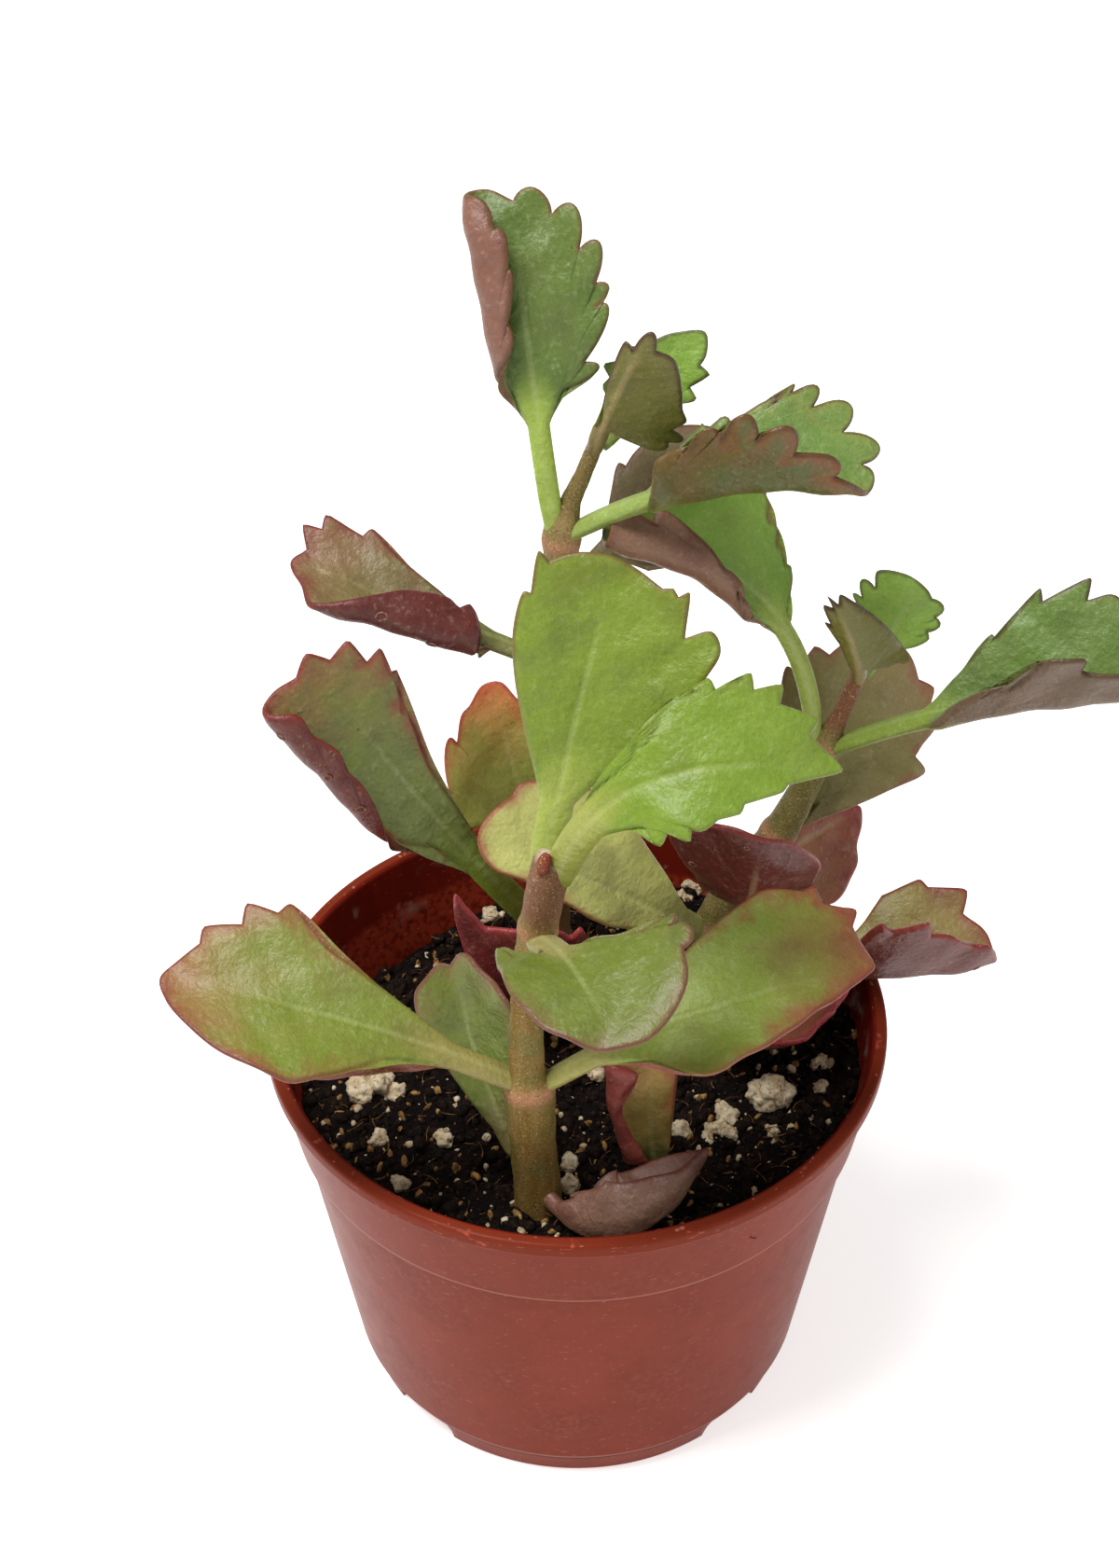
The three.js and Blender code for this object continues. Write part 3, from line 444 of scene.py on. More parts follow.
def smooth_path(points: Sequence[Vec3], samples: int) -> np.ndarray:
    """A smooth curve through points, even in the points' own count.

    Args:
        points: What the curve passes through.
        samples: How many places are wanted.

    Returns:
        One row of x, y and z for each place.
    """
    given = np.array(points, float)
    ends = np.vstack([2 * given[0] - given[1], given, 2 * given[-1] - given[-2]])
    places = []
    for t in np.linspace(0, len(given) - 1, samples):
        i = min(int(t), len(given) - 2)
        share = t - i
        p0, p1, p2, p3 = ends[i:i + 4]
        d0, d1, d2 = (math.sqrt(np.linalg.norm(b - a)) for a, b in ((p0, p1), (p1, p2), (p2, p3)))
        m1 = ((p1 - p0) / d0 - (p2 - p0) / (d0 + d1) + (p2 - p1) / d1) * d1
        m2 = ((p2 - p1) / d1 - (p3 - p1) / (d1 + d2) + (p3 - p2) / d2) * d1
        s2, s3 = share * share, share ** 3
        places.append((2 * s3 - 3 * s2 + 1) * p1 + (s3 - 2 * s2 + share) * m1
                      + (3 * s2 - 2 * s3) * p2 + (s3 - s2) * m2)
    return np.array(places)


def rounded_profile(corners: Sequence[Vec3], spacing: float = 2.5, shoulder: float = 0.25,
                    corner_points: int = 5) -> np.ndarray:
    """A profile with rounded corners and points along its straights.

    Args:
        corners: Radius, height and rounding of each corner, in order.
        spacing: The greatest distance between two points on a straight.
        shoulder: How far from a corner the first point of a straight lies.
        corner_points: How many points go round a corner.

    Returns:
        One row of radius and height for each point.
    """
    flat = np.array([corner[:2] for corner in corners], float)
    runs: list[np.ndarray] = []
    for i, (_, _, rounding) in enumerate(corners):
        here = flat[i]
        if i in (0, len(flat) - 1) or rounding <= 0:
            runs.append(here[None])
            continue
        back, ahead = flat[i - 1] - here, flat[i + 1] - here
        a = here + back / np.linalg.norm(back) * rounding
        b = here + ahead / np.linalg.norm(ahead) * rounding
        t = np.linspace(0, 1, corner_points)[:, None]
        runs.append((1 - t) ** 2 * a + 2 * t * (1 - t) * here + t ** 2 * b)
    points = [runs[0][0]]
    for run in runs:
        gap = float(np.linalg.norm(run[0] - points[-1]))
        if gap > 2 * shoulder:
            start, stop = points[-1], run[0]
            between = np.linspace(0, 1, math.ceil(gap / spacing) + 1)[1:-1]
            shares = [shoulder / gap, *between, 1 - shoulder / gap]
            points += [blend(start, stop, share) for share in shares]
        points += [p for p in run if np.linalg.norm(p - points[-1]) > 1e-4]
    return np.array(points)


@dataclass(frozen=True)
class PotFinish:
    """Red-brown moulded plastic with a satin skin, scuffs and lime left inside.

    Bands and heights are in millimetres above the ground.
    """

    body: str = "7d311f"
    warm: str = "732b1a"
    mottle: str = "6a2a1b"
    haze: str = "9a5a48"
    lip: str = "742c19"
    # A painted highlight for the edges of the collar and foot steps.
    edge_highlight: str = "b0705c"
    # Painted shadow under the collar and foot steps.
    shadow: str = "3c140c"
    # The inner wall's colour, darker than the body as painted shade inside the pot.
    inside: str = "64190f"
    streak: str = "741e12"
    lime: str = "b9a79c"
    rust: str = "9c3a22"
    pit: str = "d9a48f"
    scratch: str = "cf8f7c"
    scuff: str = "c4604a"
    roughness: float = 0.36
    # Heights of the painted highlight on the collar's and the foot's step edges.
    highlight_bands: tuple[Band, Band] = (((56.7, 57.0), (57.3, 57.8)), ((5.2, 5.5), (5.9, 6.3)))
    # Heights of the painted shadow just under those step edges.
    shadow_bands: tuple[Band, Band] = (((55.4, 56.2), (56.6, 56.8)), ((4.2, 4.6), (5.0, 5.2)))
    lip_from: Vec2 = (71.6, 72.4)
    lime_band: Band = ((61, 65), (68.5, 72))
    soil_line: float = 64.2

    def marked(self, board: FinishBoard, height: Tone) -> bpy.types.NodeSocket:
        """The outer wall's colour, with its mottling, a painted highlight along the edges of the collar and
        foot steps and painted shadow just under them.
        """
        broad = board.noise(16, 3, 1.0)
        fine = board.noise(1.1, 2, 2.0)
        mottled = board.noise(3.2, 4, 3.0)
        colour = board.mix(broad.step(0.35, 0.7), tint(self.body), tint(self.warm))
        colour = board.mix(mottled.step(0.54, 0.66) * 0.3, colour, tint(self.mottle))
        hazy = broad.step(0.5, 0.7) * fine.step(0.45, 0.6) * 0.16
        colour = board.mix(hazy, colour, tint(self.haze))
        # A painted highlight along the step edges, with painted shadow just under them.
        high, low = self.highlight_bands
        painted_highlight = height.between(high) + height.between(low)
        high, low = self.shadow_bands
        shadowed = height.between(high) + height.between(low)
        colour = board.mix(painted_highlight * 0.45, colour, tint(self.edge_highlight))
        return board.mix(shadowed * 0.8, colour, tint(self.shadow))

    def lined(self, board: FinishBoard, height: Tone) -> bpy.types.NodeSocket:
        """The inner wall's colour, darker than the outer wall as painted shade inside the pot, with a crust
        of lime and a rusty line just over the soil.
        """
        fine = board.noise(1.1, 2, 2.0)
        streaks = board.noise(5, 3, 4.0, board.stretched((1, 1, 0.12)))
        # Painted shade: the inner wall starts from a darker colour than the outer wall.
        inner = board.mix(streaks.step(0.4, 0.7), tint(self.inside), tint(self.streak))
        crust = board.noise(6.5, 6, 5.0).step(0.53, 0.66) * height.between(self.lime_band)
        inner = board.mix(crust * (0.25 + fine * 0.6), inner, tint(self.lime))
        over_soil = height - self.soil_line + (board.noise(4, 3, 6.0) - 0.5) * 3
        line = (1 - over_soil.step(0.3, 2.2)) * fine.step(0.3, 0.6)
        return board.mix(line * 0.7, inner, tint(self.rust))

    def material(self) -> bpy.types.Material:
        """Builds the pot's material."""
        board = FinishBoard("pot_plastic", IOR=1.5, Specular_IOR_Level=0.04, Coat_Weight=0.04,
                            Coat_Roughness=0.16)
        height = board.axis("Z")
        fine = board.noise(1.1, 2, 2.0)
        mottled = board.noise(3.2, 4, 3.0)
        wall = board.attribute("inside").step(0.4, 0.6)
        lip = height.step(*self.lip_from) * (1 - wall)
        colour = board.mix(lip * 0.75, self.marked(board, height), tint(self.lip))
        colour = board.mix(wall, colour, self.lined(board, height))
        distance, luck = board.cells(7.0, 7.0)
        pit = (1 - distance.step(0.03, 0.07)) * luck.over(0.66)
        colour = board.mix(pit * 0.8, colour, tint(self.pit))
        scratch = board.noise(1.6, 1, 8.0, board.stretched((1, 1, 9))).step(0.7, 0.73)
        colour = board.mix(scratch * 0.45, colour, tint(self.scratch))
        scuff = board.noise(2.6, 4, 9.0, board.stretched((1, 1, 4))).step(0.62, 0.7) * lip
        colour = board.mix(scuff * 0.5, colour, tint(self.scuff))
        board.bump(fine * 0.5 + mottled * 0.6 - pit * 0.8 + scratch * 0.2, 0.05, 0.35)
        rough = self.roughness + (mottled - 0.5) * 0.16 + scratch * 0.15 + wall * 0.12
        return board.finish(board.shade(colour, 0.95 + fine * 0.1), rough)


@dataclass(frozen=True)
class SoilFinish:
    """Wet black peat."""

    peat: str = "0d0807"
    brown: str = "21150e"
    fleck: str = "4a3424"

    def material(self) -> bpy.types.Material:
        """Builds the soil's material."""
        board = FinishBoard("soil_peat", IOR=1.4, Specular_IOR_Level=0.12)
        lumps = board.noise(2.2, 5, 1.0)
        grain = board.noise(0.5, 3, 2.0)
        colour = board.mix(lumps.step(0.5, 0.75), tint(self.peat), tint(self.brown))
        colour = board.mix(grain.step(0.62, 0.74) * 0.3, colour, tint(self.fleck))
        board.bump(lumps + grain * 0.5, 0.5, 0.9)
        return board.finish(colour, 0.95 - grain * 0.25)


@dataclass(frozen=True)
class GrainFinish:
    """A loose bit in the soil: perlite, bark, crumbs or fibre."""

    name: str
    light: str
    dark: str
    size: float
    roughness: float = 0.9
    stain: str = "5a4028"
    stained: float = 0.3

    def material(self) -> bpy.types.Material:
        """Builds the bit's material."""
        board = FinishBoard(self.name, IOR=1.4, Specular_IOR_Level=0.2)
        broad = board.noise(self.size, 2, 1.0)
        fine = board.noise(self.size / 6, 3, 2.0)
        dirt = board.noise(self.size * 0.45, 4, 7.0)
        colour = board.mix(broad.step(0.35, 0.68), tint(self.light), tint(self.dark))
        colour = board.mix(dirt.step(0.5, 0.68) * self.stained, colour, tint(self.stain))
        colour = board.shade(colour, 0.72 + fine * 0.5)
        board.bump(fine + dirt, 0.2, 0.8)
        return board.finish(colour, self.roughness)


@dataclass(frozen=True)
class StemFinish:
    """Felty olive-brown bark, pinkish at the nodes, with painted shade in the hollows of its felt."""

    name: str
    base: str
    shade: str
    shoot: str
    ring: str = "b07a5c"
    olive: str = "6a6a34"
    scar: str = "d8cdb4"
    hair: str = "cbb58e"
    # A dark colour painted as shade into the felt's hollows.
    felt_hollow_shade: str = "3c2c14"

    def material(self) -> bpy.types.Material:
        """Builds the stem's material; the mesh keeps how near a node is and how young the stem is."""
        board = FinishBoard(self.name, IOR=1.4, Specular_IOR_Level=0.3)
        streak = board.noise(1.4, 3, 1.0, board.stretched((1, 1, 0.16)))
        blotch = board.noise(5, 3, 2.0)
        felt = board.noise(0.33, 2, 3.0)
        colour = board.mix(streak.step(0.35, 0.65), tint(self.base), tint(self.shade))
        colour = board.mix(blotch.step(0.45, 0.65) * 0.6, colour, tint(self.olive))
        colour = board.mix(board.attribute("youth"), colour, tint(self.shoot))
        colour = board.mix(board.attribute("ring") * 0.75, colour, tint(self.ring))
        colour = board.mix(board.attribute("scar"), colour, tint(self.scar))
        colour = board.mix(felt.step(0.58, 0.7) * 0.5, colour, tint(self.hair))
        # Painted shade: the dark colour fills the low places of the felt's relief.
        colour = board.mix((1 - felt.step(0.3, 0.45)) * 0.5, colour, tint(self.felt_hollow_shade))
        board.bump(felt * 0.8 + streak * 1.6, 0.3, 0.8)
        # The skin is also darker where the felt lies low, painted shade in its hollows.
        return board.finish(board.shade(colour, 0.78 + felt * 0.4), 0.6 + (felt - 0.5) * 0.2)


@dataclass(frozen=True)
class LeafLook:
    """The colours of one leaf: its upper side, its underside, its stalk and its margin.

    Widths are in millimetres from the cut edge, tip_from is the share of the leaf's length where the
    tip's tone begins, and bloom is how much pale wax lies on it.
    """

    upper: str
    patch: str
    tip: str
    rim: str
    under: str
    under_rim: str
    stalk: str = "9aa052"
    line: str = "6b3324"
    tip_from: float = 0.65
    tip_share: float = 0.6
    rim_width: float = 3.0
    rim_share: float = 0.6
    line_share: float = 0.85
    bloom: float = 0.25
    vein: str = "c3c98c"
    wax: str = "c3cda6"
    under_vein: str = "b9a072"
    under_grain: str = "b79b86"
    speck: str = "3a2a1c"

    def material(self, name: str, seed: float) -> bpy.types.Material:
        """Builds the leaf's material.

        Args:
            name: The leaf's own name.
            seed: Moves the noises, so that no two leaves are alike.

        Returns:
            The material, which reads the leaf's kept numbers: edge, along, left and under.
        """
        board = FinishBoard(f"skin_{name}", IOR=1.42, Subsurface_Weight=0.08, Subsurface_Scale=0.0015,
                            Subsurface_Radius=(0.6, 1.0, 0.3), Coat_Weight=0.06, Coat_Roughness=0.35)
        edge = board.attribute("edge")
        along = board.attribute("along")
        left = board.attribute("left")
        under = board.attribute("under")
        broad = board.noise(9, 2, seed)
        patchy = board.noise(3.2, 4, seed + 3)
        fine = board.noise(0.42, 2, seed + 5)
        grain = board.noise(0.9, 3, seed + 7)

        def veins() -> Tone:
            """Faint side veins that leave the midrib at a slant."""
            slant = along * 46 - abs(left) * 1.5 + (broad - 0.5) * 5
            gap = abs(slant.maths("PINGPONG", slant, 3.6))
            return (1 - gap.step(0.0, 0.8)) * abs(left).step(0.5, 2.0) * (1 - abs(left).step(5, 12)) * broad

        vein = veins()
        rib = 1 - abs(left).step(0.15, 0.75)
        rib = rib * (1 - along.step(0.55, 0.95))
        outer = board.attribute("blade").step(0.25, 0.7)
        blush = 1 - (edge + (patchy - 0.4) * self.rim_width * 2.4).step(0.0, self.rim_width)
        blush = blush * outer * (0.15 + along.step(0.35, 0.8) * 0.85)
        cut = (1 - edge.step(0.14, 0.3 + patchy * 0.9)) * outer
        cut = cut * (0.3 + along.step(0.3, 0.75) * 0.7) * (0.45 + patchy)
        tipward = (along + (broad - 0.5) * 0.45).step(self.tip_from, 1.05)
        stalky = 1 - board.attribute("blade").step(0.0, 0.32)

        top = board.mix(broad.step(0.35, 0.68), tint(self.upper), tint(self.patch))
        top = board.mix(patchy.step(0.5, 0.72) * 0.4, top, tint(self.patch))
        top = board.shade(top, 1.12 - broad.step(0.48, 0.75) * 0.34 - patchy.step(0.3, 0.7) * 0.1)
        top = board.mix(stalky * 0.85, top, tint(self.stalk))
        top = board.mix(tipward * self.tip_share, top, tint(self.tip))
        top = board.mix(blush * self.rim_share, top, tint(self.rim))
        top = board.mix(rib * 0.16 + vein * 0.03, top, tint(self.vein))
        waxy = grain.step(0.5, 0.75) * self.bloom * (0.2 + patchy.step(0.45, 0.65) * 0.45)
        top = board.mix(waxy, top, tint(self.wax))

        low = board.mix(broad.step(0.35, 0.7) * 0.45, tint(self.under), tint(self.under_rim))
        low = board.mix(stalky * 0.7, low, tint(self.stalk))
        low = board.mix(blush, low, tint(self.under_rim))
        low = board.mix(rib * 0.35 + vein * 0.12, low, tint(self.under_vein))
        low = board.mix(grain.step(0.55, 0.72) * 0.18, low, tint(self.under_grain))

        colour = board.mix(under.step(0.3, 0.7), top, low)
        colour = board.mix(cut * self.line_share, colour, tint(self.line))
        distance, luck = board.cells(3.4, seed + 11)
        speck = (1 - distance.step(0.045, 0.1)) * luck.over(0.9)
        colour = board.mix(speck * 0.75, colour, tint(self.speck))
        light = 0.58 + fine * 0.44 + patchy * 0.22 + grain * 0.14
        board.bump(fine * 0.3 + grain * 0.5 + patchy * 2.4 - vein * 0.15, 0.36, 0.8)
        return board.finish(board.shade(colour, light), 0.44 - waxy * 0.2 + (grain - 0.5) * 0.3)


@dataclass(frozen=True)
class CorkFinish:
    """Dry pale-brown cork where an old leaf has healed."""

    pale: str = "8e6450"
    dark: str = "5c3026"

    def material(self) -> bpy.types.Material:
        """Builds the cork's material."""
        board = FinishBoard("cork_ring", IOR=1.4)
        grain = board.noise(0.5, 3, 1.0)
        colour = board.mix(grain.step(0.35, 0.65), tint(self.dark), tint(self.pale))
        board.bump(grain, 0.1, 0.6)
        return board.finish(colour, 0.7)


@dataclass(frozen=True)
class FloorFinish:
    """A matt white studio floor."""

    white: str = "f7f6f4"
    shade: str = "efeeec"
    glow: float = 0.62

    def material(self) -> bpy.types.Material:
        """Builds the floor's material."""
        board = FinishBoard("studio_floor", IOR=1.3, Specular_IOR_Level=0.1, Emission_Strength=self.glow,
                            Emission_Color=(1.0, 1.0, 1.0, 1.0))
        grain = board.noise(30, 2, 1.0)
        return board.finish(board.mix(grain * 0.15, tint(self.white), tint(self.shade)), 0.9)


YELLOW_GREEN = LeafLook("6e7d2b", "798234", "9a6a46", "8e4a38", "8a3f34", "6e2a24", stalk="968a4e",
                        line="6e2c20", tip_from=0.55, tip_share=0.75, rim_width=5.0, rim_share=0.75,
                        bloom=0.25)
REDDENED_GREEN = LeafLook("839537", "8f9d44", "94583a", "984a38", "97463c", "a8524a", stalk="a09a56",
                          line="7c2e24", tip_from=0.6, tip_share=0.85, rim_width=5.5, rim_share=0.8,
                          bloom=0.2)
GREY_GREEN = LeafLook("626f24", "6a7730", "706f38", "7e5c44", "8a5a48", "96604c", stalk="968c58",
                      line="6a3a2c", rim_width=4.0, rim_share=0.5, bloom=0.25)
TALL_GREEN = LeafLook("6f8327", "788b30", "63691d", "8ea038", "8a8448", "7c6a3c", stalk="a2ae50",
                      line="6a5426", tip_from=0.8, rim_width=2.0, rim_share=0.4, bloom=0.16)
BRIGHT = LeafLook("6c8622", "768d2b", "788e31", "84a03c", "8c8c4c", "848040", stalk="a0a24c",
                  line="6c7430", tip_share=0.4, rim_width=1.5, rim_share=0.25, line_share=0.5, bloom=0.14)
SILVER = LeafLook("4f6626", "627335", "606f30", "747e38", "805a4a", "6a4034", stalk="a8c04c",
                  line="6a4a2c", rim_width=1.6, rim_share=0.35, bloom=0.35)
OLIVE_UNDER = LeafLook("668238", "749046", "728c42", "8a8844", "525c24", "84461f", stalk="8ea04c",
                       line="5a3a20", rim_width=5.0, rim_share=0.45, bloom=0.3)
DARK_GREEN = LeafLook("5d7631", "6a813f", "67793a", "7c7c3c", "64503c", "6c5038", stalk="84983c",
                      line="4c3a20", rim_width=1.8, rim_share=0.4, bloom=0.3)
FRESH_GREEN = LeafLook("6f9034", "7a983c", "7c9440", "8a7a40", "82604a", "74483a", stalk="9aa84c",
                       line="6a4426", rim_width=1.8, rim_share=0.4, bloom=0.25)
GREY_BROWN = LeafLook("86785a", "7c6c4a", "7c6448", "7c5640", "7c5444", "6c4034", stalk="7c7048",
                      line="6a3426", tip_from=0.5, rim_width=2.4, rim_share=0.5, bloom=0.3)
YOUNG_OLIVE = LeafLook("728c38", "7e9442", "7c8a3c", "6a6430", "6c6a28", "5c4e24", stalk="7c6a3c",
                       line="4a3420", rim_width=1.5, rim_share=0.4, bloom=0.14)
YOUNG_GREEN = LeafLook("7c9c3c", "8aa84a", "88a84c", "7c9440", "6c7a30", "5e6028", stalk="7c8c3c",
                       line="4c4a24", rim_width=1.2, rim_share=0.35, bloom=0.2)
BROWN_GREEN = LeafLook("69653a", "756d44", "8c5c44", "7c3c34", "5e2822", "501e1a", stalk="6e7038",
                       line="682620", tip_from=0.45, rim_width=4.0, rim_share=0.8, bloom=0.35)
BRONZE = LeafLook("7c7240", "8a8050", "8c6a48", "8e4434", "7a5238", "8a3c2c", stalk="7c7a40",
                  line="7c3024", tip_from=0.6, rim_width=3.0, rim_share=0.7, bloom=0.3)
OLD_GREEN = LeafLook("697534", "788243", "8c5c3c", "8a4438", "6a342c", "5c2420", stalk="84a034",
                     line="742c24", tip_from=0.72, tip_share=0.8, rim_width=3.4, rim_share=0.85, bloom=0.3)
FLAME = LeafLook("8c9440", "9a9a48", "d2814c", "c45a3c", "8a5a3c", "8a3c2c", stalk="84903c",
                 line="9c3c2c", tip_from=0.5, tip_share=0.95, rim_width=3.5, rim_share=0.7, bloom=0.15)
PALE = LeafLook("c0c46c", "b8ba66", "b8b070", "a8604a", "9c4a38", "8a3028", stalk="8c8c50",
                line="8a3c2c", rim_width=3.2, rim_share=0.75, bloom=0.35)
CRIMSON = LeafLook("8a5a3c", "7c4a34", "8c3c34", "8e3030", "62241e", "7c2c2c", stalk="7c5a3c",
                   line="8c2828", tip_from=0.4, rim_width=3.5, rim_share=0.85, bloom=0.2)
MAROON = LeafLook("8c8044", "80743e", "8c5a3c", "8c4034", "5c2a20", "64241e", stalk="6c4a34",
                  line="7c2c24", tip_from=0.6, rim_width=3.0, rim_share=0.7, bloom=0.25)
PINK_BROWN = LeafLook("7e5a4a", "6e5440", "8e5a4a", "7c3c34", "80604e", "6c4238", stalk="7c5040",
                      line="5e2a22", rim_width=3.0, rim_share=0.6, bloom=0.2)
COPPER = LeafLook("a48e4a", "9a8448", "b0703f", "a03c34", "8a4438", "a05048", stalk="5c6430",
                  line="7c2c24", tip_from=0.5, rim_width=3.5, rim_share=0.8, bloom=0.12)


class Side(Enum):
    """Which half of a leaf a point is on, seen from the stalk."""

    LEFT = 0
    RIGHT = 1


@dataclass
class Studio:
    """The floor, the soft lights and the camera."""

    floor_half: float = 12000.0
    floor_drop: float = 0.05
    surroundings: float = 0.27
    sensor_width: float = 36.0
    eye: Vec3 = (-2.6, -354.3, 416.2)
    right: Vec3 = (0.99998, -0.00378, -0.00458)
    up: Vec3 = (0.00593, 0.63605, 0.77162)
    lens: float = 66.64

    def build(self) -> None:
        """Sets up the whole studio."""
        self.make_floor()
        self.make_lights()
        self.make_camera()
        bpy.context.scene.view_settings.view_transform = "Standard"
        bpy.context.scene.view_settings.look = "None"

    def make_floor(self) -> None:
        """Lays a plain pale floor just under the pot."""
        h, z = self.floor_half, -self.floor_drop
        corners = np.array([(-h, -h, z), (h, -h, z), (h, h, z), (-h, h, z)])
        floor = mesh_piece("floor", corners, [(0, 1, 2, 3)])
        floor.data.materials.append(FloorFinish().material())

    def light(self, name: str, place: Vec3, size: float, power: float, aim: Vec3 = (0, 0, 80)) -> None:
        """Hangs one square soft light.

        Args:
            name: The light's name.
            place: Where it hangs, in millimetres.
            size: The length of its side, in millimetres.
            power: Its power in watts.
            aim: The point that it looks at.
        """
        data = bpy.data.lights.new(name, "AREA")
        data.energy = power
        data.size = size * MM
        lamp = bpy.data.objects.new(name, data)
        lamp.location = Vector(place) * MM
        lamp.rotation_euler = (Vector(aim) - Vector(place)).to_track_quat("-Z", "Y").to_euler()
        bpy.context.scene.collection.objects.link(lamp)

    def make_lights(self) -> None:
        """Hangs the key, the fill and the bright surroundings."""
        self.light("key", (-350, -150, 1100), 520, 14.0)
        self.light("fill", (600, -500, 700), 600, 1.2)
        world = bpy.data.worlds.new("surroundings")
        bpy.context.scene.world = world
        world.use_nodes = True
        sky = world.node_tree.nodes["Background"]
        sky.inputs["Color"].default_value = (1, 1, 1, 1)
        sky.inputs["Strength"].default_value = self.surroundings

    def make_camera(self) -> None:
        """Places the camera where the photograph was taken from."""
        data = bpy.data.cameras.new("camera")
        data.lens = self.lens
        data.sensor_width = self.sensor_width
        camera = bpy.data.objects.new("camera", data)
        right, up = Vector(self.right), Vector(self.up)
        back = right.cross(up)
        turn = Matrix((right, up, back)).transposed()
        camera.matrix_world = Matrix.Translation(Vector(self.eye) * MM) @ turn.to_4x4()
        bpy.context.scene.collection.objects.link(camera)
        bpy.context.scene.camera = camera


